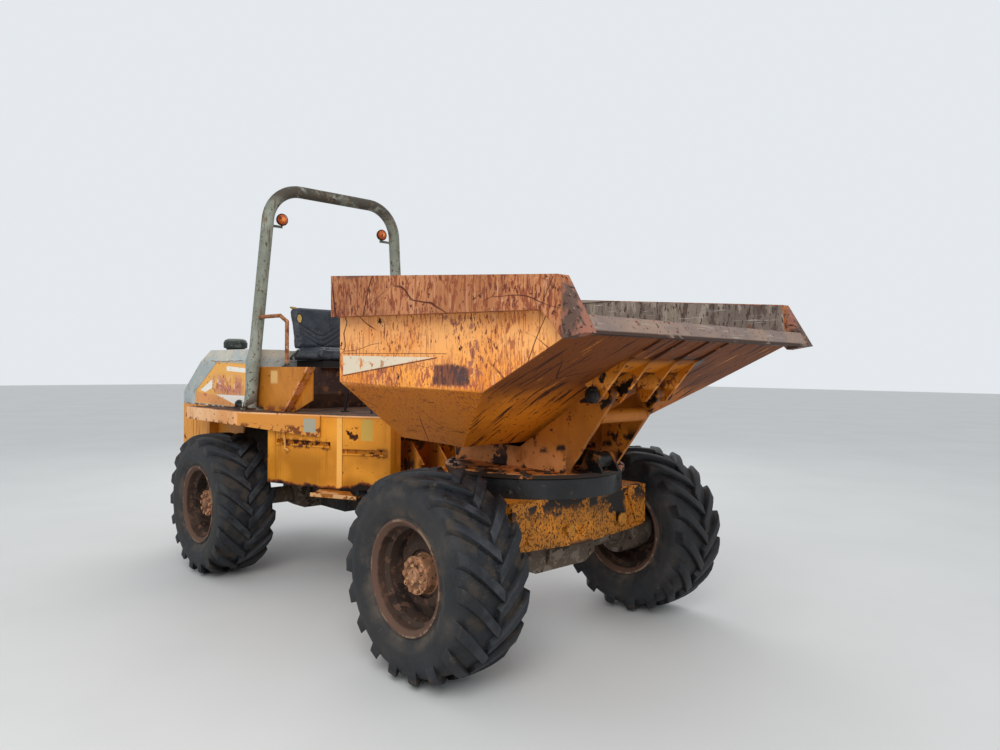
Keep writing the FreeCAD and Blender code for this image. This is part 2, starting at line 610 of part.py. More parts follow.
def seat_and_consoles():
    z0 = DECK_Z + GAP
    seat_box = side_prism(((-2640, z0), (-2640, 1500), (-2230, 1500), (-2230, 1300), (-2290, z0)), -270, 270)
    put("seat_box", fuse([seat_box, box(-2600, -2180, -190, 190, 1498, 1555)]))
    put("seat_cushion", box(-2610, -2150, -245, 245, 1555 + GAP, 1655))
    back = ((-2620, 1655 + GAP), (-2535, 1655 + GAP), (-2600, 2000), (-2680, 2000))
    put("seat_back", side_prism(back, -245, 245))
    for tag, side in (("left", 1), ("right", -1)):
        outer = side_prism(((-2435, z0),) + CONSOLE, side * 550, side * 606)
        inner = side_prism(CONSOLE_INNER, side * 540, side * 551)
        put("console_" + tag, fuse([outer, inner]))


# Roll bar: foot half width, lean inwards per mm of height, rake back, top height, bend and tube radii
BAR = dict(foot_y=677.0, foot_z=1200.0, lean=0.08, rake=0.03, top_z=2838.0, bend_r=260.0, tube_r=44.5)
BEACON_Z = BAR["top_z"] - 226
BEACON_Y = BAR["foot_y"] - BAR["lean"] * (BEACON_Z - BAR["foot_z"]) - 117.04
BEACON = (-2362.0, BEACON_Y, BEACON_Z)
RAIL_Z = 1868.0


def bar_point(z, side):
    up = z - BAR["foot_z"]
    return V(ROLL_BAR_X + BAR["rake"] * up, side * (BAR["foot_y"] - BAR["lean"] * up), z)


def roll_bar():
    """Bent tube over the driver, with its feet, lamp brackets, lamps and the grab rails beside it."""
    z0 = DECK_Z + GAP
    low, high = BAR["foot_z"], BAR["top_z"]
    corners = [bar_point(low, -1), bar_point(high, -1), bar_point(high, 1), bar_point(low, 1)]
    edges = []
    start = corners[0]
    for i in (1, 2):
        a = (corners[i - 1] - corners[i]).normalize()
        b = (corners[i + 1] - corners[i]).normalize()
        half = math.acos(max(-1, min(1, a.dot(b)))) / 2
        reach = BAR["bend_r"] / math.tan(half)
        p, q = corners[i] + a * reach, corners[i] + b * reach
        middle = corners[i] + (a + b).normalize() * (BAR["bend_r"] / math.sin(half) - BAR["bend_r"])
        edges.append(Part.LineSegment(start, p).toShape())
        edges.append(Part.Arc(p, middle, q).toShape())
        start = q
    edges.append(Part.LineSegment(start, corners[3]).toShape())
    circle = Part.Wire(Part.Circle(corners[0], (corners[1] - corners[0]), BAR["tube_r"]).toShape())
    parts = [Part.Wire(edges).makePipeShell([circle], True, False)]
    bx, by, bz = BEACON
    for s in (1, -1):
        foot_y = BAR["foot_y"]
        parts.append(box(ROLL_BAR_X - 50, ROLL_BAR_X + 80, *sorted((s * 612, s * 752)), z0, DECK_Z + 15))
        sleeve_top = (ROLL_BAR_X + 1.2, s * (foot_y - 3.2), 1240)
        parts.append(rod((ROLL_BAR_X, s * foot_y, DECK_Z + 14), sleeve_top, 50))
        parts.append(box(bx - 14, bx - 4, *sorted((s * (by - 9), s * (by + 90))), bz - 62, bz - 44))
        parts.append(rod((bx - 9, s * by, bz - 52), (bx - 9, s * by, bz - 44 - GAP), 8))
    put("roll_bar", fuse(parts))
    for tag, s in (("left", 1), ("right", -1)):
        lens = rod((bx, s * by, bz), (bx + 34, s * by, bz), 46)
        put("beacon_" + tag, fuse([lens, rod((bx - 20, s * by, bz), (bx, s * by, bz), 44)]))
        touch = bar_point(RAIL_Z, s)
        bends = [V(-2060, s * 606, RAIL_Z), V(-2012, s * 578, RAIL_Z - 43)]
        away = (V(-2330, s * 632, RAIL_Z) - touch).normalize()
        first = touch + away * (BAR["tube_r"] + 2 + GAP)
        path = [tuple(first), tuple(bends[0]), tuple(bends[1]), (-2012, s * 578, 1504 + GAP)]
        rail = [rod(a, b, 14) for a, b in zip(path, path[1:])]
        put("grab_rail_" + tag, fuse(rail + [Part.makeSphere(14, p) for p in bends]))


def steering_and_lever():
    z0 = DECK_Z + GAP
    d = V(-230, 0, 512).normalize()
    foot = V(-1480, 0, DECK_Z + 6)
    centre = foot + d * 600
    tube = Part.makeCylinder(32, 600 - 34 - GAP, foot, d)
    column = fuse([tube, box(-1560, -1400, -90, 90, z0, DECK_Z + 12)])
    put("steering_column", column.common(box(-2000, -1000, -200, 200, z0, 2000)))
    wheel_parts = [Part.makeTorus(185, 15, centre, d), Part.makeCylinder(28, 46, centre - d * 34, d)]
    side_dir = V(0, 1, 0)
    up_dir = d.cross(side_dir)
    for a in (90, 210, 330):
        spoke = side_dir * math.cos(math.radians(a)) + up_dir * math.sin(math.radians(a))
        wheel_parts.append(rod(tuple(centre), tuple(centre + spoke * 180), 9))
    put("steering_wheel", fuse(wheel_parts))
    base, knee, grip = (-1733, -273), (-1702, -262, 1370), (-1735, -262, 1450)
    lever = [rod((*base, z0), (*base, z0 + 8), 30), rod((*base, z0 + 3), knee, 9), rod(knee, grip, 9)]
    put("hand_lever", fuse(lever + [Part.makeSphere(18, V(-1737, -262, 1455))]))


def tow_jaw():
    face = REAR_X - GAP
    jaw = [box(face - 14, face, -90, 90, 650, 830)]
    jaw += [box(JAW_X, face - 10, -60, 60, low, low + 22) for low in (680, 778)]
    put("tow_jaw", fuse(jaw).cut(Part.makeCylinder(16.0, 300, V(-3696, 0, 600))).removeSplitter())


def steering_rams():
    """Two rams from the rear rails to the front frame; each rod starts inside its barrel."""
    for tag, side in (("left", 1), ("right", -1)):
        bx, by, bz = STEER_BARREL
        ex, ey, ez = STEER_EYE
        a, b = V(bx + REAR_MOVE, side * by, bz), V(ex, side * ey, ez)
        d = (b - a).normalize()
        barrel = Part.makeCylinder(32, 436, a + d * 64, d).fuse(Part.makeCylinder(20, 60, a + d * 8, d))
        knuckle = Part.makeCylinder(30, 45, V(a.x, a.y, bz - 22))
        bore = Part.makeCylinder(18.0, 80, V(a.x, a.y, bz - 40))
        inside = Part.makeCylinder(18.05, 420, a + d * 84, d)
        put("steer_barrel_" + tag, barrel.fuse(knuckle).cut(bore).cut(inside).removeSplitter())
        stem = Part.makeCylinder(18.0, (b - (a + d * 290)).Length, a + d * 290, d)
        put("steer_rod_" + tag, fuse([stem, Part.makeCylinder(30, 44, V(b.x, b.y, ez - 22))]))


def build():
    """Makes every piece in place; the rear half is drawn first and moved to the wheelbase."""
    nodes.clear()
    for tag, side in (("rear_left", 1), ("rear_right", -1)):
        wheel(tag, REAR_AXLE_X, side)
    axle("rear_axle", REAR_AXLE_X)
    for make in (rear_frame, tanks, rear_body, deck, bonnet, engine, seat_and_consoles, roll_bar,
                 steering_and_lever, tow_jaw):
        make()
    for shape in nodes.values():
        shape.translate(V(REAR_MOVE, 0, 0))
    for tag, side in (("front_left", 1), ("front_right", -1)):
        wheel(tag, 0, side)
    axle("front_axle", 0)
    for make in (front_chassis, turntable, tipping_ram, skip, steering_rams):
        make()
    return nodes


def main():
    os.makedirs("parts", exist_ok=True)
    for name, shape in build().items():
        moved = shape.copy()
        moved.translate(V(SHIFT, 0, LIFT))
        if not moved.isValid() or len(moved.Solids) != 1:
            print("check", name, moved.isValid(), len(moved.Solids))
        moved.exportStep(f"parts/{name}.step")
    print(len(nodes), "nodes")


if __name__ == "__main__":
    main()
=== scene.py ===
import math
import random

import bmesh
import bpy
from mathutils import Matrix, Vector


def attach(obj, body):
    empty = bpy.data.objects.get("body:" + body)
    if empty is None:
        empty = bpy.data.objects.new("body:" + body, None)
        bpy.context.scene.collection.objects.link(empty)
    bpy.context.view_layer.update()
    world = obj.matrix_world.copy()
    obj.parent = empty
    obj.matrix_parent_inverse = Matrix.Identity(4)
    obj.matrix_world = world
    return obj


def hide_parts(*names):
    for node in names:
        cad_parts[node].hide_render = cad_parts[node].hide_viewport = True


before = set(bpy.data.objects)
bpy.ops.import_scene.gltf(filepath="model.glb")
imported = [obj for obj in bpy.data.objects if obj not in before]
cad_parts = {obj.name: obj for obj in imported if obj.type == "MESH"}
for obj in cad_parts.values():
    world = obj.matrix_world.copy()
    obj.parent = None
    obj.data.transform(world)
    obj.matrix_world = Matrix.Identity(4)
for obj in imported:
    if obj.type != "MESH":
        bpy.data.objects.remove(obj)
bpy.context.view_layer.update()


# Tyres
# Four tractor-tread tyres of worn black rubber, moulded in one with their chevron lugs.
# The apex of each chevron leads as the machine rolls forward, and dust lies on the side walls.
AXLE_X = {"front": 1.3265, "rear": -1.2065}
TYRE_RADIUS = 0.508
WHEEL_Y = 0.828
WHEEL_Z = TYRE_RADIUS
TYRE_SECTION = (
    (0.2575, 0.150), (0.2575, 0.1646), (0.270, 0.167), (0.277, 0.173), (0.284, 0.168), (0.300, 0.178),
    (0.335, 0.196), (0.345, 0.1985), (0.352, 0.1975), (0.375, 0.2025), (0.405, 0.200), (0.430, 0.193),
    (0.452, 0.178), (0.466, 0.150), (0.474, 0.100), (0.478, 0.040),
)
LUGS = 18
LUG_TOP = ((0.0, 0.5072), (0.06, 0.5065), (0.12, 0.503), (0.165, 0.496), (0.185, 0.487), (0.204, 0.470))
LUG_SIZE = {"width": 0.055, "foot": 0.078, "sweep": 1.02, "start": -0.012, "end": 0.200, "rows": 8}


def rgb(code):
    """Linear colour from a plain hex code."""
    parts = [int(code[i : i + 2], 16) / 255 for i in (0, 2, 4)]
    return tuple(c / 12.92 if c <= 0.04045 else ((c + 0.055) / 1.055) ** 2.4 for c in parts)


class Finish:
    """A material built up in coats, read in metres from the piece's own Object coordinates."""

    def __init__(self, name, colour, rough=0.5, metal=0.0, shine=0.25):
        self.material = bpy.data.materials.new(name)
        self.material.use_nodes = True
        self.nodes = self.material.node_tree.nodes
        self.links = self.material.node_tree.links
        self.shader = self.nodes["Principled BSDF"]
        self.shader.inputs["Metallic"].default_value = metal
        self.shader.inputs["Specular IOR Level"].default_value = shine
        self.place = self.add("ShaderNodeTexCoord").outputs["Object"]
        parts = self.add("ShaderNodeSeparateXYZ", {0: self.place})
        self.x, self.y, self.z = (parts.outputs[i] for i in range(3))
        self.side = self.sum("ABSOLUTE", self.y)
        self.colour = rgb(colour)
        self.rough = rough
        self.heights = []

    def add(self, kind, values=None, **settings):
        """Adds a node; values maps input names or numbers to a socket or a constant."""
        node = self.nodes.new(kind)
        for key, value in settings.items():
            setattr(node, key, value)
        for key, value in (values or {}).items():
            if isinstance(value, bpy.types.NodeSocket):
                self.links.new(value, node.inputs[key])
            else:
                node.inputs[key].default_value = value
        return node

    def stretched(self, stretch, turn=(0, 0, 0)):
        """The piece's coordinates, stretched and turned for a pattern."""
        values = {"Vector": self.place, "Scale": stretch, "Rotation": [math.radians(a) for a in turn]}
        return self.add("ShaderNodeMapping", values).outputs["Vector"]

    def noise(self, scale, detail=3, where=None):
        values = {"Vector": where or self.place, "Scale": scale, "Detail": detail, "Roughness": 0.6}
        return self.add("ShaderNodeTexNoise", values).outputs["Fac"]

    def streaks(self, stretch, detail, turn=(0, 0, 0)):
        """Noise drawn out into streaks."""
        return self.noise(1.0, detail, self.stretched(stretch, turn))

    def sum(self, kind, a, b=0.0, c=0.0):
        return self.add("ShaderNodeMath", {0: a, 1: b, 2: c}, operation=kind).outputs[0]

    def step(self, value, low, high):
        """A soft step from 0 at low to 1 at high."""
        values = {"Value": value, "From Min": low, "From Max": high}
        return self.add("ShaderNodeMapRange", values, interpolation_type="SMOOTHSTEP").outputs["Result"]

    def mottle(self, scale, detail, low, high):
        """Soft patches, from noise stepped between two of its levels."""
        return self.step(self.noise(scale, detail), low, high)

    def spots(self, scale, share, detail=4, where=None):
        """Ragged spots over about a share of the surface."""
        edge = 0.5 + (0.5 - share) * 0.36
        return self.step(self.noise(scale, detail, where), edge, edge + 0.035)

    def wavy(self, value, scale, detail, amount):
        """A value made uneven by noise."""
        return self.sum("ADD", value, self.sum("MULTIPLY", self.noise(scale, detail), amount))

    def both(self, *masks):
        """The place that all the masks share."""
        value = masks[0]
        for other in masks[1:]:
            value = self.sum("MULTIPLY", value, other)
        return value

    def band(self, value, low, high, soft=0.002):
        """1 where the value lies between low and high."""
        return self.both(self.step(value, low, low + soft), self.step(value, high, high - soft))

    def area(self, points, across=None, soft=0.003):
        """A convex patch given by its corners, anticlockwise as (across, height); across is the x axis."""
        across = across or self.x
        masks = []
        for (x0, z0), (x1, z1) in zip(points, points[1:] + points[:1]):
            length = math.dist((x0, z0), (x1, z1))
            a, b = -(z1 - z0) / length, (x1 - x0) / length
            value = self.sum("MULTIPLY_ADD", across, a, -(a * x0 + b * z0))
            value = self.sum("MULTIPLY_ADD", self.z, b, value)
            masks.append(self.step(value, 0.0, soft))
        return self.both(*masks)

    def scratches(self, scale, width, stretch=(1, 1, 1), turn=(0, 0, 0)):
        """Thin wandering lines, as a branch or a shovel leaves when it drags along paint."""
        where = self.stretched(stretch, turn)
        drift = self.add("ShaderNodeTexNoise", {"Vector": where, "Scale": scale * 1.4, "Detail": 2.0})
        moved = self.along("MULTIPLY", drift.outputs["Color"], (0.22,) * 3)
        values = {"Vector": self.along("ADD", where, moved), "Scale": scale}
        cells = self.add("ShaderNodeTexVoronoi", values, feature="DISTANCE_TO_EDGE")
        line = self.step(cells.outputs["Distance"], width * scale, width * scale * 0.3)
        return self.both(line, self.step(self.noise(scale * 0.9, 2), 0.46, 0.56))

    def flecks(self, scale, share, tall=3.5):
        """Short upright flecks, as rust pricks through rain-washed paint."""
        return self.spots(scale, share, 3, self.stretched((1, 1, 1 / tall)))

    def along(self, kind, a, b):
        """Vector sums, on all three axes at once."""
        return self.add("ShaderNodeVectorMath", {0: a, 1: b}, operation=kind).outputs[0]

    def away(self, point):
        """Distance from a point."""
        values = {0: self.place, 1: point}
        return self.add("ShaderNodeVectorMath", values, operation="DISTANCE").outputs["Value"]

    def spread(self, across, middle, height):
        """Distance from a line square to the side, or end, at a height."""
        dx = self.sum("POWER", self.sum("ABSOLUTE", self.sum("SUBTRACT", across, middle)), 2.0)
        dz = self.sum("POWER", self.sum("ABSOLUTE", self.sum("SUBTRACT", self.z, height)), 2.0)
        return self.sum("SQRT", self.sum("ADD", dx, dz))

    def coat(self, mask, colour, rough):
        """Lays a coat of another colour and roughness where the mask, or each of several, is 1."""
        if isinstance(mask, tuple):
            mask = self.both(*mask)
        under = self.colour if isinstance(self.colour, bpy.types.NodeSocket) else (*self.colour, 1)
        values = {0: mask, 6: under, 7: (*rgb(colour), 1)}
        self.colour = self.add("ShaderNodeMix", values, data_type="RGBA").outputs[2]
        values = {0: mask, 2: self.rough, 3: rough}
        self.rough = self.add("ShaderNodeMix", values, data_type="FLOAT").outputs[0]

    def bump(self, height, depth):
        """Relief from a height, as deep as given in metres."""
        self.heights.append((height, depth))

    def grit(self, scale, detail, depth):
        """Relief from plain noise."""
        self.bump(self.noise(scale, detail), depth)

    def done(self):
        """Connects colour, roughness and relief, and returns the material."""
        for name, value in (("Base Color", self.colour), ("Roughness", self.rough)):
            if isinstance(value, bpy.types.NodeSocket):
                self.links.new(value, self.shader.inputs[name])
            else:
                self.shader.inputs[name].default_value = value if name == "Roughness" else (*value, 1)
        normal = None
        for height, depth in self.heights:
            values = {"Height": height, "Distance": depth, "Strength": 1.0}
            if normal:
                values["Normal"] = normal
            normal = self.add("ShaderNodeBump", values).outputs["Normal"]
        if normal:
            self.links.new(normal, self.shader.inputs["Normal"])
        return self.material


def between(table, at):
    """Value at a place in a table of (place, value) rows."""
    for (x0, y0), (x1, y1) in zip(table, table[1:]):
        if at <= x1:
            return y0 + (y1 - y0) * max(at - x0, 0) / (x1 - x0)
    return table[-1][1]


def piece(name, bm, material, body, replaced=(), smooth=35):
    """Makes one object from a bmesh, with its material, on its body."""
    mesh = bpy.data.meshes.new(name)
    bm.to_mesh(mesh)
    bm.free()
    mesh.shade_smooth()
    mesh.set_sharp_from_angle(angle=math.radians(smooth))
    obj = bpy.data.objects.new(name, mesh)
    bpy.context.scene.collection.objects.link(obj)
    mesh.materials.append(material)
    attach(obj, body)
    if replaced:
        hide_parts(*replaced)
    return obj


def loft(bm, rings):
    """Pulls a face out from ring to ring, and closes the end it started from."""
    start = [bm.verts.new(p) for p in rings[0]]
    face = bm.faces.new(start)
    known = set(bm.faces) - {face}
    for ring in rings[1:]:
        face = bmesh.ops.extrude_discrete_faces(bm, faces=[face])["faces"][0]
        for vertex, place in zip(face.verts, ring):
            vertex.co = place
    bm.faces.new(start)
    faces = [f for f in bm.faces if f not in known]
    bmesh.ops.recalc_face_normals(bm, faces=faces)
    return faces


def tyre_shape(side, centre):
    """One tyre about its axle; side is +1 on the left of the machine."""
    bm = bmesh.new()
    half = [bm.verts.new((0, w, r)) for r, w in TYRE_SECTION]
    other = [bm.verts.new((0, -w, r)) for r, w in reversed(TYRE_SECTION)]
    ring = half + other
    for a, b in zip(ring, ring[1:]):
        bm.edges.new((a, b))
    whole = bm.verts[:] + bm.edges[:]
    bmesh.ops.spin(bm, geom=whole, cent=(0, 0, 0), axis=(0, 1, 0), angle=math.tau, steps=144, use_merge=True)
    bmesh.ops.recalc_face_normals(bm, faces=bm.faces[:])
    crown = sorted((w, r) for r, w in TYRE_SECTION[9:])
    for number in range(LUGS):
        for hand in (1, -1):
            turn = math.tau * (number + (0.5 if hand < 0 else 0)) / LUGS
            rings = []
            for row in range(LUG_SIZE["rows"]):
                along = row / (LUG_SIZE["rows"] - 1)
                w = LUG_SIZE["start"] + along * (LUG_SIZE["end"] - LUG_SIZE["start"])
                foot_r, top_r = between(crown, abs(w)) - 0.012, between(LUG_TOP, abs(w))
                foot, top = (foot_r, "foot"), (top_r, "width")
                corners = []
                for (r, part), s in ((foot, -1), (top, -1), (top, 1), (foot, 1)):
                    reach = s * LUG_SIZE[part] * (1 + 0.25 * along) / 2
                    angle = turn + (reach - LUG_SIZE["sweep"] * w) / TYRE_RADIUS
                    out = w - (0.004 if part == "foot" else 0.0)
                    corners.append((r * math.sin(angle), hand * out, r * math.cos(angle)))
                rings.append(corners)
            faces = loft(bm, rings)
            sharp = {e for f in faces for e in f.edges if e.calc_face_angle(0) > 0.6}
            bmesh.ops.bevel(
                bm, geom=list(sharp), offset=0.0045, segments=2, profile=0.5, affect="EDGES", material=-1
            )
    bmesh.ops.translate(bm, verts=bm.verts[:], vec=centre)
    return bm


def wheel_radius(f):
    """Distance from the nearer axle, for patterns that follow a wheel."""
    return f.sum("MINIMUM", *(f.spread(f.x, x, WHEEL_Z) for x in AXLE_X.values()))


rubber = Finish("worn_rubber", "14171B", 0.6, 0.0, 0.4)
radius = wheel_radius(rubber)
rubber.coat(rubber.mottle(5, 4, 0.42, 0.68), "20242A", 0.68)
rubber.coat(rubber.mottle(22, 4, 0.50, 0.66), "0E1013", 0.5)
wall = rubber.both(rubber.step(radius, 0.470, 0.400), rubber.mottle(3, 4, 0.32, 0.60))
rubber.coat(wall, "2D2C2C", 0.8)
rubber.coat((wall, rubber.mottle(7, 5, 0.48, 0.70)), "433D38", 0.9)
rubber.coat((rubber.step(radius, 0.36, 0.29), rubber.mottle(9, 4, 0.40, 0.64)), "4E453D", 0.9)
groove = rubber.both(rubber.step(radius, 0.494, 0.478), rubber.step(radius, 0.45, 0.465))
rubber.coat((groove, rubber.mottle(8, 4, 0.44, 0.62)), "3B342E", 0.9)
rubber.coat((rubber.step(radius, 0.500, 0.506), rubber.mottle(11, 4, 0.40, 0.62)), "34363A", 0.75)
rubber.coat((rubber.spots(70, 0.10), rubber.mottle(4, 2, 0.45, 0.6)), "4F4740", 0.9)
# Painted shade: patchy darker treads on the rear tyres and on the left-hand tyres, the side away from the
# camera.
tread = rubber.both(rubber.step(radius, 0.43, 0.47), rubber.step(rubber.side, 0.995, 0.965))
shade = rubber.sum("MULTIPLY", rubber.step(rubber.x, -0.9, -0.95), rubber.step(rubber.side, 1.1, 1.0))
shade = rubber.sum("MAXIMUM", shade, rubber.step(rubber.y, -0.2, 0.2))
rubber.coat((tread, shade, rubber.mottle(6, 4, 0.66, 0.40)), "090A0C", 0.55)
rubber.grit(120, 4, 0.0012)
rubber.grit(18, 3, 0.003)
rubber_material = rubber.done()

for end, x in AXLE_X.items():
    for tag, side in (("left", 1), ("right", -1)):
        name = f"{end}_{tag}"
        shape = tyre_shape(side, (x, side * WHEEL_Y, WHEEL_Z))
        piece("tread_" + name, shape, rubber_material, "wheel_" + name, ["tyre_" + name])


# Rims
# Pressed steel rims gone to dark brown rust, with lighter orange rust on the hubs and nuts, pale gold
# painted highlights on the hub faces and a ring of painted shade round each hub's middle.
# Each is dished, and a ring of nuts holds it to its hub.
def dress(material, *nodes):
    """Gives CAD nodes their finish."""
    for node in nodes:
        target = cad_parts[node]
        target = bpy.data.objects[target] if isinstance(target, str) else target
        target.data.materials.clear()
        target.data.materials.append(material)


rim = Finish("rim_rust", "3E2F27", 0.78)
radius = wheel_radius(rim)
rim.coat(rim.spots(7, 0.45), "2B201B", 0.85)
rim.coat(rim.spots(19, 0.35), "5A4032", 0.85)
rim.coat(rim.step(radius, 0.236, 0.252), "5C4438", 0.8)
rim.coat((rim.step(radius, 0.262, 0.270), rim.spots(13, 0.45)), "7E6754", 0.85)
hub = rim.step(radius, 0.104, 0.096)
rim.coat(hub, "93694C", 0.8)
rim.coat((hub, rim.spots(24, 0.4)), "B4805F", 0.85)
rim.coat((hub, rim.spots(38, 0.25)), "4A2E20", 0.9)
# Painted shade: a dark ring round the middle of each hub.
rim.coat((rim.band(radius, 0.040, 0.054, 0.004), rim.mottle(14, 3, 0.34, 0.46)), "3A241A", 0.9)
# Painted highlights: pale gold spots on the outer face of each hub.
rim.coat((hub, rim.step(rim.side, 0.905, 0.925), rim.spots(55, 0.22)), "D2A472", 0.6)
rim.coat((rim.step(radius, 0.075, 0.055), rim.spots(12, 0.6)), "74523C", 0.7)
rim.grit(90, 4, 0.001)
rim.grit(12, 3, 0.0015)
dress(rim.done(), "rim_front_left", "rim_front_right", "rim_rear_left", "rim_rear_right")


# Axles
# Cast housings under a grey-brown skin of dried mud and oil.
# They are bolted up under the two frames and carry the drums and hubs.
iron = Finish("axle_iron", "5E5145", 0.75)
iron.coat(iron.spots(6, 0.45), "7C6E62", 0.85)
iron.coat(iron.spots(13, 0.3), "33281F", 0.6)
iron.coat(iron.spots(40, 0.25), "82715F", 0.9)
iron.grit(60, 4, 0.0014)
iron.grit(9, 4, 0.003)
dress(iron.done(), "front_axle", "rear_axle")


# Front frame
# Welded plates sprayed yellow-orange; the front plate is spattered with black mud and grease.
# Two turned steel caps stand on that plate.
def sprayed_steel(name, light, dark, rust=0.12, rough=0.45):
    """Yellow-orange machine paint with patches, rain streaks, rust spots and chips."""
    f = Finish(name, light, rough)
    f.coat(f.mottle(1.7, 4, 0.36, 0.66), dark, rough + 0.08)
    streak = f.streaks((24, 24, 1.3), 4)
    f.coat((f.step(streak, 0.52, 0.7), f.mottle(2.3, 2, 0.4, 0.62)), "8A4A12", 0.6)
    blotch = f.noise(8, 5)
    edge = 0.5 + (0.5 - rust) * 0.36
    f.coat(f.step(blotch, edge, edge + 0.03), "7E4017", 0.82)
    f.coat(f.step(blotch, edge + 0.025, edge + 0.05), "26150F", 0.9)
    f.coat(f.spots(42, 0.06), "47200F", 0.85)
    f.grit(45, 4, 0.0006)
    f.grit(3, 2, 0.004)
    return f


plate = sprayed_steel("front_frame_paint", "C87A1A", "9A5610", 0.18)
front = plate.step(plate.x, 1.552, 1.558)
plate.coat((front, plate.mottle(4, 4, 0.42, 0.56)), "A8681C", 0.55)
speck = plate.spots(105, 0.42, 3, plate.stretched((1, 1, 0.7)))
plate.coat((front, speck), "4A2E14", 0.8)
for y, z in ((0.247, 0.782), (-0.208, 0.760), (0.087, 0.782)):
    corners = [(y - 0.05, z - 0.04), (y + 0.05, z - 0.03), (y + 0.04, z + 0.04), (y - 0.04, z + 0.03)]
    blot = plate.area(corners, plate.y, 0.02)
    plate.coat((front, blot, plate.mottle(15, 4, 0.36, 0.48)), "17110E", 0.4)
STREAK = [(0.285, 0.640), (0.360, 0.625), (0.375, 0.665), (0.330, 0.840), (0.249, 0.845)]
plate.coat((front, plate.area(STREAK, plate.y, 0.012)), "1A1411", 0.4)
smear = plate.both(front, plate.step(plate.z, 0.69, 0.80), plate.spots(9, 0.55))
plate.coat(smear, "241A14", 0.5)
patch = plate.area([(0.14, 0.66), (0.42, 0.64), (0.36, 0.83), (0.12, 0.83)], plate.y, 0.05)
plate.coat((front, patch, plate.spots(7, 0.7)), "1E1713", 0.45)
plate.coat((plate.step(plate.z, 0.60, 0.565), plate.spots(12, 0.5)), "33241A", 0.8)
# Painted light: bright orange patches on the rear part of the frame, lifting it where it falls in shade.
behind = plate.both(plate.step(plate.x, 1.02, 0.94), plate.step(plate.z, 0.66, 0.74))
plate.coat((behind, plate.mottle(5, 4, 0.30, 0.46)), "F0A040", 0.5)
dress(plate.done(), "front_frame")


def around(count):
    """Angles spaced evenly round a full turn."""
    return [math.tau * k / count for k in range(count)]


PLATE_X = 1.5905
FRONT_CAPS = ((0.3167, 0.656, 0.036), (-0.1219, 0.653, 0.032))
CAP_SHAPE = (
    (0.96, 0.0006), (1.0, 0.003), (1.0, 0.011), (0.90, 0.014), (0.55, 0.015), (0.46, 0.011), (0.10, 0.010),
)
caps = bmesh.new()
for y, z, size in FRONT_CAPS:
    loft(caps, [
        [(PLATE_X + out, y + size * r * math.cos(a), z + size * r * math.sin(a)) for a in around(32)]
        for r, out in CAP_SHAPE
    ])
cap_paint = sprayed_steel("cap_paint", "B07424", "865012", 0.3)
cap_paint.coat(cap_paint.spots(70, 0.35), "4A2E14", 0.8)
piece("front_caps", caps, cap_paint.done(), "front_chassis")


# Slewing ring
# A greased steel ring, black with dust stuck along its lower edge.
# The same grease blackens the tow jaw and the barrels of the steering rams.
grease = Finish("black_grease", "0F0F10", 0.42, 0.0, 0.4)
grease.coat(grease.spots(9, 0.4), "0C0B0A", 0.25)
grease.coat(grease.mottle(5, 4, 0.48, 0.66), "1A1C1E", 0.5)
grease.coat(grease.spots(26, 0.12), "3E3630", 0.85)
grease.grit(40, 4, 0.0014)
grease_material = grease.done()
dress(grease_material, "slew_ring", "tow_jaw", "steer_barrel_left", "steer_barrel_right")


# Turntable and arms
# Thick plate in tired orange paint, black with grease near the pins and rust-brown on its edges.
# Cheek plates stiffen the arms, and a circle of hexagon bolts holds the plate to its ring.
arm = sprayed_steel("arm_paint", "B86C1C", "8A4E14", 0.2)
foot = arm.both(arm.step(arm.z, 1.14, 1.00), arm.step(arm.x, 1.75, 1.55))
arm.coat((foot, arm.mottle(4, 4, 0.36, 0.55)), "D48C50", 0.6)
arm.coat((foot, arm.mottle(7, 4, 0.555, 0.59)), "2A1914", 0.6)
arm.coat((foot, arm.spots(30, 0.16)), "4A2216", 0.8)
arm.coat((arm.step(arm.z, 1.0, 0.968), arm.spots(10, 0.45)), "2A1D15", 0.55)
near_pin = arm.area([(1.80, 1.30), (1.96, 1.30), (1.96, 1.44), (1.80, 1.44)], None, 0.05)
arm.coat((near_pin, arm.spots(14, 0.6)), "2B1A12", 0.4)
arm.coat(arm.spots(5, 0.16), "3A2114", 0.6)
blob = arm.area([(1.86, 1.29), (1.93, 1.345), (1.905, 1.375), (1.84, 1.325)], None, 0.012)
arm.coat((blob, arm.mottle(16, 4, 0.30, 0.42)), "14100E", 0.35)
for x, z in ((1.475, 1.075), (1.590, 1.094)):
    corners = [(x - 0.05, z - 0.03), (x + 0.05, z - 0.02), (x + 0.04, z + 0.03), (x - 0.03, z + 0.02)]
    blot = arm.area(corners, None, 0.02)
    arm.coat((blot, arm.mottle(14, 4, 0.38, 0.50)), "2A1814", 0.5)
rim_edge = arm.both(arm.step(arm.z, 0.9645, 0.9625), arm.mottle(7, 4, 0.30, 0.42))
arm.coat(rim_edge, "2A1C14", 0.5)
oily = arm.both(arm.step(arm.side, 0.190, 0.180), arm.step(arm.x, 1.62, 1.68), arm.step(arm.z, 1.22, 1.14))
arm.coat((oily, arm.step(arm.z, 0.962, 0.968), arm.mottle(8, 4, 0.58, 0.48)), "12100F", 0.35)
arm_material = arm.done()
dress(arm_material, "arms", "turntable_plate", "ram_base")

CHEEK = ((0.748, 0.9665), (1.300, 0.9665), (1.300, 1.076), (0.795, 1.088), (0.748, 1.055))
cheeks = bmesh.new()
for side in (1, -1):
    loft(cheeks, [[(x, side * y, z) for x, z in CHEEK] for y in (0.2022, 0.2078)])
piece("arm_cheeks", cheeks, arm_material, "turntable")

bolt_iron = Finish("bolt_steel", "3C342E", 0.55, 0.5)
bolt_iron.coat(bolt_iron.spots(60, 0.4), "6B3F26", 0.85)
bolt_iron.grit(200, 2, 0.0004)
bolt_material = bolt_iron.done()


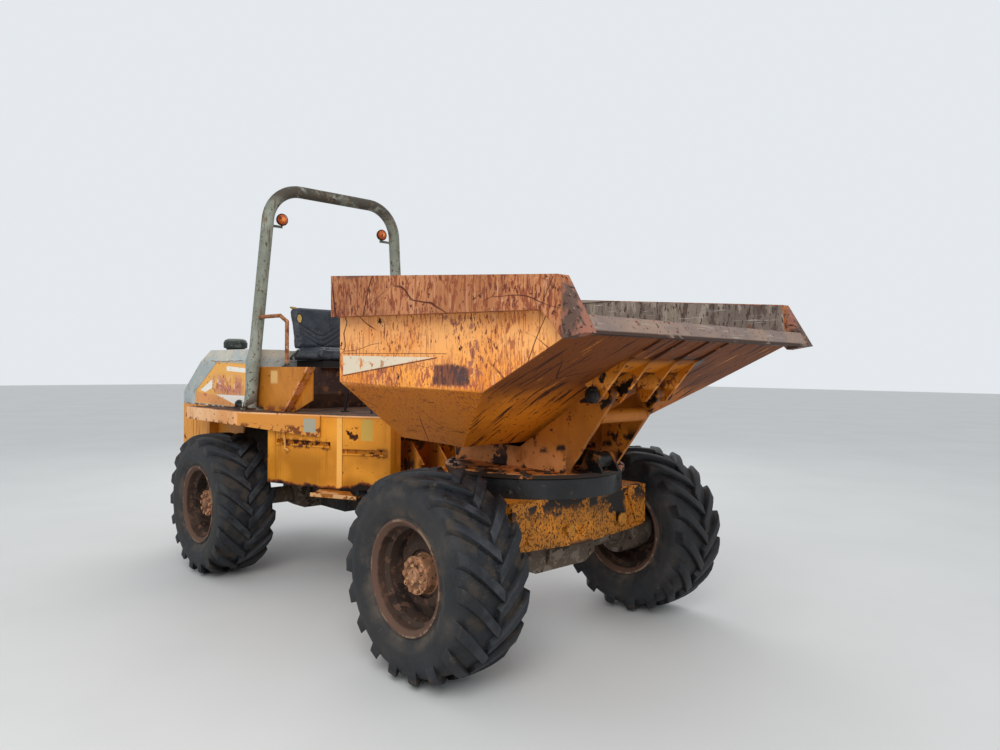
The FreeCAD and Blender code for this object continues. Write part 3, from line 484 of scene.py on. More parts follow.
def hex_head(bm, at, direction, across=0.024, high=0.012, washer=True):
    """One hexagon bolt head on its washer, standing along a direction."""
    turn = Vector(direction).to_track_quat("Z", "Y").to_matrix().to_4x4()
    place = Matrix.Translation(Vector(at)) @ turn
    if washer:
        bmesh.ops.create_cone(
            bm, cap_ends=True, segments=20, radius1=across * 0.95, radius2=across * 0.92, depth=0.003,
            matrix=place @ Matrix.Translation((0, 0, 0.0015)),
        )
    made = bmesh.ops.create_cone(
        bm, cap_ends=True, segments=6, radius1=across * 0.577, radius2=across * 0.577, depth=high,
        matrix=place @ Matrix.Translation((0, 0, 0.003 + high / 2)),
    )
    top = [e for v in made["verts"] for e in v.link_edges if all(w in made["verts"] for w in e.verts)]
    bmesh.ops.bevel(
        bm, geom=list(set(top)), offset=0.0012, segments=2, profile=0.5, affect="EDGES", material=-1
    )


BOLT_RING = {"x": 1.2065, "radius": 0.478, "top": 0.966, "count": 24, "arm_y": 0.19, "arm_front": 1.66}
bolts = bmesh.new()
for number in range(BOLT_RING["count"]):
    angle = math.tau * (number + 0.5) / BOLT_RING["count"]
    x = BOLT_RING["x"] + BOLT_RING["radius"] * math.cos(angle)
    y = BOLT_RING["radius"] * math.sin(angle)
    if abs(abs(y) - BOLT_RING["arm_y"]) > 0.03 or x > BOLT_RING["arm_front"]:
        hex_head(bolts, (x, y, BOLT_RING["top"]), (0, 0, 1))
piece("turntable_bolts", bolts, bolt_material, "turntable")


# Tipping ram
# A black greasy barrel with a polished rod, wiped clean only where it slides.
# The rods of the steering rams are of the same ground steel.
barrel = Finish("ram_barrel_black", "1B1A1A", 0.4)
barrel.coat(barrel.spots(11, 0.45), "3A3532", 0.6)
barrel.coat(barrel.spots(30, 0.25), "6A4A30", 0.85)
barrel.grit(50, 4, 0.001)
dress(barrel.done(), "ram_barrel")
chrome = Finish("rod_steel", "B9B7B2", 0.22, 1.0)
chrome.coat(chrome.spots(14, 0.3), "6B6058", 0.5)
dress(chrome.done(), "ram_rod", "steer_rod_left", "steer_rod_right")


# Skip
# Folded plate skip in sun-faded orange: pale above, stronger below, orange underneath with painted shade
# going to dark brown under the spout, and with shovel scratches, a worn white wedge on each side and bare
# rusty steel inside.
SKIP_INSIDE = [
    (0.5555, 2.3), (0.5555, 1.4251), (0.7438, 1.1149), (1.2754, 1.1020), (1.7508, 1.3986), (1.7508, 2.3),
]
SPOUT_INSIDE = [(1.7408, 2.3), (1.7408, 1.3938), (2.42, 1.7205), (2.42, 2.3)]
LEANING_WALL = (0.01664, -0.72864, 0.68480)
WEDGE = [(0.5835, 1.571), (0.5845, 1.460), (1.4235, 1.555)]
PATCH = [(1.380, 1.416), (1.600, 1.410), (1.668, 1.420), (1.664, 1.512), (1.560, 1.534), (1.395, 1.526)]
SCORCH = [(1.545, 1.424), (1.655, 1.424), (1.655, 1.505), (1.600, 1.522), (1.545, 1.512)]


def skip_paint(name):
    """Sun-faded orange with fine upright streaks, shared by the shell and its hinge."""
    f = Finish(name, "F2AA64", 0.5)
    f.coat(f.mottle(3.4, 4, 0.46, 0.62), "E6944E", 0.5)
    low = f.step(f.wavy(f.z, 2.5, 3, 0.3), 1.84, 1.50)
    f.coat(low, "FAA23C", 0.5)
    f.coat((low, f.mottle(3, 3, 0.5, 0.62)), "E68A34", 0.55)
    f.coat(f.step(f.z, 1.415, 1.395), "BE6C08", 0.5)
    fine = f.streaks((95, 95, 5), 3)
    f.coat((f.step(fine, 0.58, 0.70), f.mottle(3, 2, 0.38, 0.56), f.step(f.z, 1.39, 1.42)), "E6AE80", 0.65)
    f.coat((f.step(fine, 0.44, 0.32), f.mottle(2.6, 2, 0.42, 0.60)), "A4582C", 0.6)
    f.coat((f.spots(2.2, 0.30), f.spots(26, 0.45)), "A86A50", 0.75)
    return f


def wear(f):
    """Long thin rusty scratches and chips."""
    reach = f.mottle(1.6, 3, 0.40, 0.62)
    f.coat((reach, f.flecks(62, 0.36)), "9A4E30", 0.7)
    f.coat((f.mottle(2.1, 3, 0.42, 0.60), f.flecks(80, 0.30)), "7A3A26", 0.75)
    f.coat(f.flecks(95, 0.10), "5E2A1C", 0.8)
    f.coat(f.scratches(0.9, 0.0050, (1.6, 1.6, 0.8), (0, 28, 0)), "4E2218", 0.8)
    f.coat(f.scratches(1.5, 0.0034, (0.7, 0.7, 1.9), (0, -8, 0)), "5E2A1C", 0.8)
    f.coat((f.spots(12, 0.06), f.spots(60, 0.6)), "3A1C14", 0.9)


skip = skip_paint("skip_paint")
wear(skip)
along = skip.streaks((3, 40, 40), 4)
flank = skip.both(skip.step(skip.z, 1.405, 1.390), skip.step(skip.z, 1.14, 1.18))
skip.coat((flank, skip.step(along, 0.60, 0.64), skip.mottle(2.6, 2, 0.44, 0.56)), "4E2410", 0.7)
lower = skip.both(
    skip.step(skip.z, 1.60, 1.48), skip.step(skip.z, 1.40, 1.42), skip.mottle(2.4, 3, 0.34, 0.52),
)
skip.coat((lower, skip.flecks(70, 0.5, 2.5)), "B0603F", 0.7)
skip.coat((lower, skip.flecks(90, 0.22, 2.5)), "7A3626", 0.75)
outer = skip.step(skip.side, 0.8885, 0.8895)
white = skip.both(outer, skip.area(WEDGE, None, 0.004), skip.mottle(24, 4, 0.66, 0.56))
skip.coat(white, "DCCDB4", 0.5)
skip.coat((white, skip.spots(16, 0.2)), "B98F6B", 0.7)
level = skip.sum("MULTIPLY_ADD", skip.x, 0.012, skip.z)
over = skip.both(skip.band(level, 1.5855, 1.5905), skip.band(skip.x, 0.5825, 1.4985))
skip.coat((outer, over, skip.mottle(14, 2, 0.26, 0.36)), "5B3427", 0.7)
beneath = skip.area([(0.5845, 1.453), (1.4235, 1.548), (1.4235, 1.5555), (0.5845, 1.461)], None, 0.002)
skip.coat((outer, beneath, skip.mottle(12, 3, 0.30, 0.40)), "5B3427", 0.7)
ragged = skip.mottle(13, 5, 0.26, 0.42)
skip.coat((outer, skip.area(PATCH, None, 0.02), ragged), "7E4C38", 0.85)
skip.coat((outer, skip.area(PATCH, None, 0.02), skip.flecks(55, 0.5)), "5A3832", 0.8)
skip.coat((outer, skip.area(SCORCH, None, 0.03), skip.flecks(60, 0.75)), "4A3B3B", 0.7)
rear_slope = skip.sum("MULTIPLY_ADD", skip.x, 0.6239, 0.3016)
spout_slope = skip.sum("MULTIPLY_ADD", skip.x, 0.4809, 0.5522)
slope = skip.sum("MINIMUM", rear_slope, spout_slope)
below = skip.step(skip.sum("SUBTRACT", skip.z, slope), 0.006, 0.004)
under = skip.both(below, skip.step(skip.x, 1.27, 1.28))
skip.coat(under, "D87A14", 0.6)
skip.coat((under, skip.mottle(2.2, 3, 0.44, 0.60)), "BA660E", 0.6)
# Painted shade: the underside darkens to brown further in under the spout.
deep = skip.both(under, skip.step(skip.wavy(skip.x, 3, 3, 0.3), 1.75, 2.05))
skip.coat(deep, "753C10", 0.65)
gouge = skip.streaks((3, 34, 3), 4, (0, 0, 8))
skip.coat((under, skip.step(gouge, 0.57, 0.61)), "3E1A0A", 0.7)
skip.coat((under, skip.step(gouge, 0.35, 0.30)), "CC8030", 0.6)
skip.coat((under, skip.flecks(40, 0.16)), "5A2A12", 0.7)
skip.coat((under, skip.scratches(1.1, 0.006, (0.6, 1.6, 1.6), (0, -28, 0))), "3A180A", 0.7)
for y in (0.106, 0.284):
    gone = skip.wavy(skip.away((2.02, y, 1.52)), 14, 3, 0.12)
    skip.coat((under, skip.step(gone, 0.20, 0.14)), "1A1310", 0.35)
hollow = skip.sum("MAXIMUM", skip.area(SKIP_INSIDE, None, 0.001), skip.area(SPOUT_INSIDE, None, 0.001))
mirrored = skip.add("ShaderNodeCombineXYZ", {0: skip.x, 1: skip.side, 2: skip.z}).outputs[0]
lean = skip.add("ShaderNodeVectorMath", {0: mirrored, 1: LEANING_WALL}, operation="DOT_PRODUCT")
above_wall = skip.step(lean.outputs["Value"], 0.3390, 0.3405)
inside = skip.both(hollow, skip.step(skip.side, 0.8865, 0.8855), above_wall)
skip.coat(inside, "75685F", 0.62)
skip.coat((inside, skip.mottle(2.2, 4, 0.44, 0.60)), "8A7B6E", 0.55)
rain = skip.streaks((22, 22, 6), 4)
skip.coat((inside, skip.step(rain, 0.52, 0.60)), "5B4C45", 0.75)
skip.coat((inside, skip.step(rain, 0.44, 0.38)), "9C8E80", 0.5)
skip.coat((inside, skip.flecks(60, 0.28)), "4A3A33", 0.8)
drag = skip.step(skip.streaks((4, 60, 60), 4), 0.60, 0.68)
skip.coat((inside, drag), "A89E94", 0.4)
skip.coat((inside, skip.spots(9, 0.12)), "7A4E38", 0.85)
skip.coat((inside, skip.step(skip.z, 1.9, 1.97), skip.spots(8, 0.3)), "A8826A", 0.6)
strip = skip.both(inside, skip.step(skip.z, 1.966, 1.970))
skip.coat((strip, skip.mottle(9, 3, 0.30, 0.44)), "A08E80", 0.55)
skip.coat((inside, skip.band(skip.z, 1.956, 1.966, 0.003)), "4A3C34", 0.75)
skip.grit(40, 4, 0.0008)
skip.grit(4, 3, 0.007)
dress(skip.done(), "skip_shell")

hinge = skip_paint("hinge_paint")
wear(hinge)
hinge.coat(hinge.step(hinge.z, 1.40, 1.50), "C0700F", 0.55)
hinge.coat((hinge.step(hinge.x, 2.03, 2.12), hinge.mottle(6, 3, 0.24, 0.44)), "4A2410", 0.7)
hinge.coat(hinge.spots(10, 0.4), "8A4F24", 0.6)
hinge.coat(hinge.spots(7, 0.22), "21160F", 0.4)
hinge.grit(40, 4, 0.001)
dress(hinge.done(), "skip_hinge", "ram_bracket")

PIN = (1.8865, 0.3003, 1.380)
PIN_SHAPE = (
    (0.040, 0.0), (0.042, 0.003), (0.042, 0.010), (0.037, 0.014), (0.022, 0.015), (0.018, 0.019),
    (0.005, 0.020),
)
pins = bmesh.new()
for side in (1, -1):
    loft(pins, [
        [(PIN[0] + r * math.cos(a), side * (PIN[1] + out), PIN[2] + r * math.sin(a)) for a in around(32)]
        for r, out in PIN_SHAPE
    ])
    at = (PIN[0] + 0.030, side * (PIN[1] + 0.011), PIN[2] + 0.030)
    hex_head(pins, at, (0, side, 0), 0.016, 0.007, False)
piece("pin_caps", pins, grease_material, "skip")


# Rim bands and lip
# Thick edging along the skip's top, its paint rubbed to a pinkish brown, and a lip worn to bare steel.
# Both are folded from plate and welded along the edge of the shell.
edging = Finish("band_paint", "A5683F", 0.6)
edging.coat(edging.mottle(3, 4, 0.42, 0.62), "B9784C", 0.55)
fine = edging.streaks((80, 80, 4), 4)
edging.coat(edging.step(fine, 0.56, 0.70), "C08C6A", 0.65)
edging.coat(edging.step(fine, 0.44, 0.30), "7A4228", 0.7)
edging.coat(edging.flecks(60, 0.42), "8A4A2E", 0.75)
edging.coat((edging.flecks(75, 0.34), edging.mottle(2.5, 3, 0.36, 0.56)), "6A3424", 0.8)
edging.coat((edging.flecks(85, 0.16), edging.mottle(3.1, 3, 0.44, 0.6)), "D09A76", 0.6)
edging.coat(edging.scratches(1.3, 0.0060, (1, 1, 0.6), (0, 50, 0)), "4A2018", 0.8)
edging.coat(edging.scratches(1.9, 0.0040, (0.6, 0.6, 1.6), (0, -12, 0)), "52271B", 0.8)
SCORE = [(2.1465, 1.728), (2.1545, 1.728), (2.2345, 1.866), (2.2265, 1.866)]
edging.coat(edging.area(SCORE, None, 0.003), "3A1C14", 0.8)
edging.coat(edging.spots(24, 0.20), "5A3222", 0.85)
edging.coat((edging.step(edging.z, 1.966, 1.984), edging.mottle(9, 4, 0.34, 0.52)), "6E4536", 0.6)
root = edging.both(edging.step(edging.z, 1.700, 1.640), edging.step(edging.x, 2.2, 2.1))
edging.coat((root, edging.spots(9, 0.5)), "6A3E2A", 0.7)
face = edging.step(edging.x, 2.262, 2.285)
edging.coat((face, edging.mottle(9, 4, 0.30, 0.44)), "5C453B", 0.6)
edging.coat((face, edging.mottle(8, 4, 0.44, 0.54)), "94604E", 0.65)
edging.coat((face, edging.spots(40, 0.30)), "3E2C26", 0.8)
edging.coat((face, edging.spots(28, 0.16)), "8A7668", 0.6)
edging.grit(60, 4, 0.001)
edging.grit(5, 3, 0.006)
dress(edging.done(), "rim_band_left", "rim_band_right")

steel = Finish("worn_lip", "7E6C64", 0.55, 0.1)
steel.coat(steel.mottle(5, 4, 0.38, 0.66), "937A6A", 0.6)
steel.coat((steel.mottle(3, 4, 0.46, 0.64), steel.step(steel.z, 1.72, 1.78)), "8E604C", 0.7)
steel.coat(steel.step(steel.streaks((60, 5, 60), 4), 0.56, 0.72), "A09286", 0.45)
steel.coat(steel.flecks(70, 0.16), "5C4438", 0.85)
steel.coat(steel.spots(26, 0.12), "7A4A34", 0.85)
steel.coat((steel.step(steel.z, 1.656, 1.648), steel.mottle(9, 3, 0.30, 0.46)), "3E2C24", 0.75)
steel.grit(30, 4, 0.003)
dress(steel.done(), "lip_beam")


# Rear frame
# Rails and cross plates under the floor, orange under a coat of road dirt.
# They are welded up from plate; the column at the pivot is brightened with painted light where it falls in
# shade.
rails = sprayed_steel("rear_frame_paint", "A8641F", "7E4A17", 0.25)
rails.coat(rails.spots(3.4, 0.4), "4A3424", 0.85)
rails.coat(rails.spots(20, 0.2), "2A1C14", 0.85)
# Painted light: brighter orange patches on the pivot column.
column = rails.both(rails.step(rails.x, 0.16, 0.24), rails.step(rails.z, 0.70, 0.78))
rails.coat((column, rails.mottle(5, 4, 0.34, 0.50)), "F0A040", 0.5)
step_edge = rails.both(rails.step(rails.side, 0.55, 0.58), rails.step(rails.z, 0.68, 0.69))
rails.coat((step_edge, rails.spots(11, 0.6)), "C99A6A", 0.65)
dress(rails.done(), "rear_frame")


# Side tanks
# Folded tanks in fresher orange-yellow, chipped round the footholds, rust eating up from the lower edge.
# A short bent rod latches each of them.
tank = sprayed_steel("tank_paint", "F0A030", "DC8A22", 0.07)
tank.coat((tank.step(tank.z, 1.08, 0.84), tank.mottle(1.6, 3, 0.26, 0.5)), "AC6A08", 0.5)
for height, x0, x1 in ((0.950, 0.03, 0.22), (0.990, -0.62, -0.14)):
    near = tank.both(tank.band(tank.z, height - 0.05, height + 0.04, 0.03), tank.band(tank.x, x0, x1, 0.05))
    tank.coat((near, tank.spots(16, 0.55)), "5A2E18", 0.85)
# Painted light and shade at the folds: a pale highlight strip beside the front fold, and dark shade lines
# along both folds.
for x0, x1, shade in ((-0.110, -0.071, "F6B458"), (-0.071, -0.066, "6E3F14"), (-0.236, -0.233, "8A5418")):
    tank.coat((tank.band(tank.x, x0, x1, 0.002), tank.mottle(9, 3, 0.30, 0.42)), shade, 0.5)
ragged = tank.sum("MULTIPLY", tank.noise(12, 5), 0.8)
ragged = tank.sum("ADD", ragged, tank.sum("MULTIPLY", tank.step(tank.x, -0.10, 0.12), 0.30))
edge = tank.sum("ADD", tank.sum("DIVIDE", tank.sum("SUBTRACT", 0.725, tank.z), 0.12), ragged)
tank.coat(tank.step(edge, 0.40, 0.52), "6B3318", 0.85)
tank.coat(tank.step(edge, 0.52, 0.62), "1F1613", 0.92)
tank.coat(tank.area([(0.0415, 1.024), (0.1130, 1.024), (0.1130, 1.168), (0.0415, 1.168)]), "CFA94F", 0.5)
dress(tank.done(), "tank_left", "tank_right")


def forged_rod(bm, start, end, radius, dice, ripple=0.007):
    """A forged rod from start to end, a little uneven where the hammer and the rust have been."""
    start, end = Vector(start), Vector(end)
    ahead = (end - start).normalized()
    up = ahead.orthogonal().normalized()
    across = ahead.cross(up)
    steps = max(int((end - start).length / ripple), 2)
    rings = []
    for i in range(steps + 1):
        middle = start.lerp(end, i / steps)
        r = radius * (1.0 + (0.16 if i % 2 else -0.10) + dice.uniform(-0.08, 0.08))
        rings.append([middle + (up * math.cos(a) + across * math.sin(a)) * r for a in around(7)])
    loft(bm, rings)


rods = bmesh.new()
for side in (1, -1):
    top, foot = Vector((-0.5345, side * 0.676, 1.105)), Vector((-0.5185, side * 0.671, 0.945))
    for start, end in ((top, foot), (foot, foot + Vector((0.035, side * -0.008, -0.012)))):
        forged_rod(rods, start, end, 0.008, random.Random(3), 0.03)
    bend = Matrix.Translation(foot)
    bmesh.ops.create_uvsphere(rods, u_segments=12, v_segments=8, radius=0.009, matrix=bend)
rod_paint = sprayed_steel("rod_paint", "E0A35C", "C98540", 0.15)
piece("tank_latches", rods, rod_paint.done(), "rear_chassis", smooth=60)


# Deck
# Floor plate, brown with trodden dirt, its hanging skirts faded to pale orange along the sides.
# Low studs pressed into the plate give a foothold.
deck = sprayed_steel("deck_paint", "F3BE8C", "E09A58", 0.12)
deck.coat((deck.step(deck.side, 0.862, 0.855), deck.step(deck.z, 1.180, 1.174)), "D28A3A", 0.5)
deck.coat((deck.step(deck.z, 1.12, 1.095), deck.spots(14, 0.5)), "7A431F", 0.8)
REFLECTOR = [(-0.3445, 1.066), (-0.2475, 1.062), (-0.2475, 1.160), (-0.3445, 1.163)]
deck.coat(deck.area(REFLECTOR, None, 0.006), "A09C88", 0.6)
top = deck.step(deck.z, 1.1862, 1.1868)
deck.coat(top, "4B362B", 0.8)
deck.coat((top, deck.spots(5, 0.45)), "6A4A36", 0.85)
deck.coat((top, deck.spots(17, 0.3)), "2A1F1A", 0.8)
deck.coat((top, deck.step(deck.side, 0.82, 0.86), deck.spots(9, 0.6)), "B9825A", 0.7)
values = {"Vector": deck.stretched((30, 30, 1)), "Scale": 1.0}
studs = deck.add("ShaderNodeTexVoronoi", values, feature="F1")
deck.bump(deck.both(top, deck.step(studs.outputs["Distance"], 0.40, 0.25)), 0.0016)
dress(deck.done(), "deck")


# Rear body
# Ballast plate, quarter panels and radiator grille in bright orange, black behind the grille bars.
# Hexagon bolts hold the plate and the panels.
body = sprayed_steel("body_paint", "E09430", "C67A22", 0.13)
edge = body.sum("ADD", body.sum("DIVIDE", body.sum("SUBTRACT", 0.72, body.z), 0.12), body.noise(9, 5))
body.coat(body.step(edge, 0.42, 0.55), "5A2E18", 0.85)
grille = body.both(
    body.step(body.x, -2.331, -2.327), body.band(body.z, 0.822, 1.118), body.step(body.side, 0.419, 0.417),
)
body.coat((grille, body.step(body.x, -2.31, -2.29)), "17140F", 0.7)
body.coat((body.step(body.z, 1.15, 1.18), body.spots(10, 0.4)), "C98E62", 0.65)
dress(body.done(), "rear_body")

fixings = bmesh.new()
for side in (1, -1):
    for z in (0.72, 0.95, 1.14):
        hex_head(fixings, (-2.3335, side * 0.655, z), (-1, 0, 0))
    for x in (-2.22, -2.02, -1.84):
        for z in (0.74, 1.14):
            hex_head(fixings, (x, side * 0.690, z), (0, side, 0), 0.019, 0.008)
piece("body_bolts", fixings, bolt_material, "rear_chassis")


# Bonnet
# Engine cover of pressed sheet, pale grey-blue mottled with cream, an orange panel let into each side.
# Its stickers and signs are blank, and a white wedge runs along the panel's lower edge.
PANEL = [(-2.0715, 1.199), (-1.1185, 1.199), (-1.1185, 1.528), (-1.6395, 1.537), (-2.0715, 1.300)]
cover = Finish("bonnet_grey", "A6AEAC", 0.5)
cover.coat(cover.mottle(5, 4, 0.42, 0.72), "C6C0B0", 0.55)
cover.coat(cover.mottle(9, 4, 0.50, 0.72), "8A9896", 0.5)
cover.coat((cover.step(cover.z, 1.54, 1.60), cover.mottle(4, 4, 0.34, 0.66)), "C6BCAA", 0.6)
cover.coat(cover.spots(15, 0.10), "8F7A62", 0.75)
cover.coat(cover.spots(48, 0.07), "6B4430", 0.85)
seam = cover.wavy(cover.z, 7, 3, 0.03)
seam = cover.both(cover.band(seam, 1.556, 1.564, 0.003), cover.band(cover.x, -1.78, -1.12, 0.05))
cover.coat((seam, cover.mottle(11, 3, 0.38, 0.46)), "6B4630", 0.8)
panel = cover.both(cover.step(cover.side, 0.6835, 0.6845), cover.area(PANEL, None, 0.002))
cover.coat(panel, "F0AE52", 0.5)
RUBBED = [(-1.86, 1.26), (-1.1185, 1.22), (-1.1185, 1.47), (-1.74, 1.47)]
rub = cover.both(panel, cover.area(RUBBED, None, 0.10))
cover.coat((rub, cover.spots(6, 0.62)), "CC8468", 0.6)
cover.coat((rub, cover.flecks(45, 0.35, 2.5)), "9A5238", 0.75)
cover.coat((rub, cover.spots(18, 0.3)), "EBC8B0", 0.6)
PANEL_FOOT = [(-2.0715, 1.199), (-1.1185, 1.199), (-1.1185, 1.250), (-2.0715, 1.300)]
low = cover.both(panel, cover.area(PANEL_FOOT, None, 0.01))
cover.coat(low, "E49A58", 0.55)
cover.coat((low, cover.spots(9, 0.4)), "C87E60", 0.65)
cover.coat((panel, cover.spots(30, 0.10)), "8A4A28", 0.8)
STICKER = [(-1.9795, 1.307), (-1.8735, 1.293), (-1.7315, 1.329), (-1.7315, 1.402)]
WHITE_WEDGE = [(-1.6715, 1.283), (-1.2935, 1.211), (-1.0325, 1.185), (-1.0325, 1.288)]
PALE_STRIP = [(-1.4585, 1.468), (-1.1025, 1.456), (-1.1025, 1.493), (-1.4585, 1.507)]
worn = cover.mottle(20, 4, 0.70, 0.62)
for patch in (STICKER, WHITE_WEDGE, PALE_STRIP):
    cover.coat((panel, cover.area(patch, None, 0.003), worn), "F2ECE0", 0.45)
cover.coat((cover.step(cover.z, 1.205, 1.190), cover.spots(12, 0.6)), "5E3A26", 0.85)
cover.grit(30, 4, 0.0007)
cover.grit(2.6, 2, 0.006)
dress(cover.done(), "bonnet")

cap = Finish("intake_plastic", "2C3330", 0.5)
cap.coat(cap.spots(8, 0.4), "4A524C", 0.6)
cap.coat(cap.step(cap.z, 1.70, 1.735), "6E746C", 0.65)
cap.coat(cap.spots(35, 0.15), "8A8574", 0.8)
cap.grit(70, 3, 0.0008)
dress(cap.done(), "intake_cap")

LATCH = (
    (-0.080, 0.000), (0.080, 0.000), (0.082, 0.022), (0.040, 0.026), (0.030, 0.040), (0.034, 0.060),
    (0.026, 0.076), (-0.012, 0.078), (-0.020, 0.062), (-0.026, 0.030), (-0.082, 0.024),
)
HANDLE = ((-1.225, 0.004), (-1.215, 0.010), (-1.190, 0.010), (-1.180, 0.004))
latches = bmesh.new()
for side in (1, -1):
    loft(latches, [
        [(-1.205 + a * shrink, side * (0.690 + out), 1.212 + (b - 0.036) * shrink) for a, b in LATCH]
        for out, shrink in ((0.0006, 1.0), (0.014, 1.0), (0.021, 0.90))
    ])
    loft(latches, [
        [(x, side * 0.716 + r * math.cos(a), 1.222 + 2.2 * r * math.sin(a)) for a in around(12)]
        for x, r in HANDLE
    ])
strap = Finish("latch_rubber", "26272A", 0.6)
strap.coat(strap.spots(25, 0.35), "4A4A48", 0.75)
strap.grit(150, 3, 0.0006)
strap_material = strap.done()
piece("bonnet_latches", latches, strap_material, "rear_chassis", smooth=40)


# Roll bar
# A bent tube in old grey-green paint, freckled with rust and lichen, bolted through flat feet.
# The grab rails are bare rusty tube, with a rubber boot where each enters its console.
tube = Finish("roll_bar_grey", "7A7D70", 0.6)
tube.coat(tube.mottle(4, 4, 0.42, 0.60), "92958A", 0.65)
tube.coat((tube.step(tube.z, 2.68, 2.80), tube.mottle(7, 5, 0.34, 0.48)), "4C463E", 0.75)
down_streak = tube.streaks((26, 26, 5), 4)
tube.coat(tube.step(down_streak, 0.56, 0.68), "6B5C48", 0.75)
tube.coat(tube.spots(38, 0.22), "5B4630", 0.85)
tube.coat(tube.spots(60, 0.10), "2E2820", 0.85)
tube.coat((tube.step(tube.z, 1.36, 1.20), tube.spots(10, 0.6)), "4A3428", 0.8)
crossbar = tube.both(tube.step(tube.z, 2.52, 2.60), tube.step(tube.z, 2.66, 2.60))
tube.coat((crossbar, tube.step(tube.side, 0.53, 0.50)), "2B2622", 0.7)
tube.grit(60, 4, 0.0009)
tube.grit(7, 3, 0.0018)
dress(tube.done(), "roll_bar")

rail = Finish("grab_rail_rust", "95613E", 0.75)
rail.coat(rail.spots(20, 0.4), "6F4227", 0.85)
rail.coat(rail.spots(44, 0.3), "B68A68", 0.8)
rail.coat(rail.spots(12, 0.16), "8D8A7C", 0.6)
rail.grit(110, 4, 0.0008)
dress(rail.done(), "grab_rail_left", "grab_rail_right")

bar_bolts = bmesh.new()
for side in (1, -1):
    for x in (-1.099, -0.999):
        for y in (0.626, 0.738):
            hex_head(bar_bolts, (x, side * y, 1.202), (0, 0, 1), 0.022, 0.011)
piece("roll_bar_bolts", bar_bolts, bolt_material, "rear_chassis")

BOOT = ((0.033, 1.5045), (0.034, 1.509), (0.024, 1.514), (0.0175, 1.520), (0.0175, 1.527), (0.0150, 1.528))
RAIL_FOOT = (-0.6855, 0.578)
boots = bmesh.new()
for side in (1, -1):
    loft(boots, [
        [(RAIL_FOOT[0] + r * math.cos(a), side * RAIL_FOOT[1] + r * math.sin(a), z) for a in around(24)]
        for r, z in BOOT
    ])
piece("rail_boots", boots, strap_material, "rear_chassis", smooth=40)


# Front lamps
# Round amber lamps hung inside the bar, each a black dish with a ribbed lens.
# Both parts are turned, and the lens sits in the mouth of its dish.
LAMP_AT = (-1.0355, 0.447, 2.612)
shell = Finish("lamp_shell", "1D1C1C", 0.5)
shell.coat(shell.spots(30, 0.3), "3C3632", 0.7)
shell.grit(120, 2, 0.0005)
shell_material = shell.done()
amber = Finish("amber_lens", "A8481A", 0.18)
ribs = amber.sum("SINE", amber.sum("MULTIPLY", amber.y, 620.0))
amber.coat(amber.step(ribs, -0.2, 0.9), "C8622A", 0.2)
# Painted highlight: a bright amber spot in the middle of each lens.
near = amber.sum("MINIMUM", *(amber.away((-1.0, s * LAMP_AT[1], LAMP_AT[2])) for s in (1, -1)))
amber.coat(amber.step(near, 0.024, 0.008), "EE8C45", 0.2)
amber.coat(amber.spots(22, 0.12), "5A2A18", 0.6)
amber.bump(ribs, 0.0006)
amber_material = amber.done()

DISH = (
    (-0.0198, 0.016), (-0.019, 0.030), (-0.012, 0.041), (0.004, 0.0458), (0.010, 0.046), (0.013, 0.0452),
    (0.013, 0.040), (0.008, 0.0395),
)
LENS = ((0.006, 0.0385), (0.016, 0.0385), (0.024, 0.0345), (0.030, 0.026), (0.0335, 0.014), (0.0342, 0.003))


def turned(centre, profile, count):
    """A shape turned about the x axis from (x, radius) rows."""
    bm = bmesh.new()
    loft(bm, [
        [(centre[0] + x, centre[1] + r * math.cos(a), centre[2] + r * math.sin(a)) for a in around(count)]
        for x, r in profile
    ])
    return bm


for tag, side in (("left", 1), ("right", -1)):
    centre = (LAMP_AT[0], side * LAMP_AT[1], LAMP_AT[2])
    dish = turned(centre, DISH, 40)
    piece("lamp_shell_" + tag, dish, shell_material, "rear_chassis", ["beacon_" + tag], 50)
    lens = turned(centre, LENS, 60)
    piece("lamp_lens_" + tag, lens, amber_material, "rear_chassis", smooth=60)


# Consoles
# Box-section side consoles folded from plate, rust along the slanted front edge.
# The outer side of each has a paler blank patch, and its top is rubbed by sleeves.
console = sprayed_steel("console_paint", "CE8228", "A9661A", 0.06, 0.5)
slant = console.sum("MULTIPLY_ADD", console.z, -1.041, console.x)
slant = console.sum("ADD", slant, 1.8942)
edge = console.both(console.step(slant, -0.040, -0.015), console.step(console.side, 0.552, 0.556))
console.coat((edge, console.spots(16, 0.6)), "D9905C", 0.7)
console.coat((edge, console.spots(30, 0.28)), "A4552C", 0.85)
console.coat((edge, console.spots(44, 0.14)), "6E3620", 0.85)
pale = console.area([(-0.885, 1.375), (-0.760, 1.375), (-0.760, 1.485), (-0.885, 1.485)], None, 0.02)
console.coat((console.step(console.side, 0.604, 0.605), pale), "DDAE6A", 0.55)
console.coat((console.step(console.z, 1.24, 1.20), console.spots(9, 0.6)), "8A4A24", 0.8)
console.coat((console.step(console.z, 1.500, 1.503), console.spots(11, 0.5)), "B98A66", 0.7)
dress(console.done(), "console_left", "console_right")


# Driver's seat
# Foam pads under black vinyl, blown up soft between their seams. The back has sewn channels in
# a shallow V; its corner near the rail has split and the yellow foam shows through.
def softened(ob):
    """Rounds a blown piece off by one level, the same in views and renders."""
    subsurf = ob.modifiers.new("smooth", "SUBSURF")
    subsurf.levels = 1
    subsurf.render_levels = 1


def rounded(cx, cy, half_x, half_y, corner, lift, count=6):
    """A rounded rectangle in plan at one height, anticlockwise."""
    points = []
    for sx, sy, start in ((1, 1, 0), (-1, 1, 90), (-1, -1, 180), (1, -1, 270)):
        for k in range(count):
            a = math.radians(start + 90 * k / (count - 1))
            x = cx + sx * (half_x - corner) + corner * math.cos(a)
            y = cy + sy * (half_y - corner) + corner * math.sin(a)
            points.append((x, y, lift))
    return points


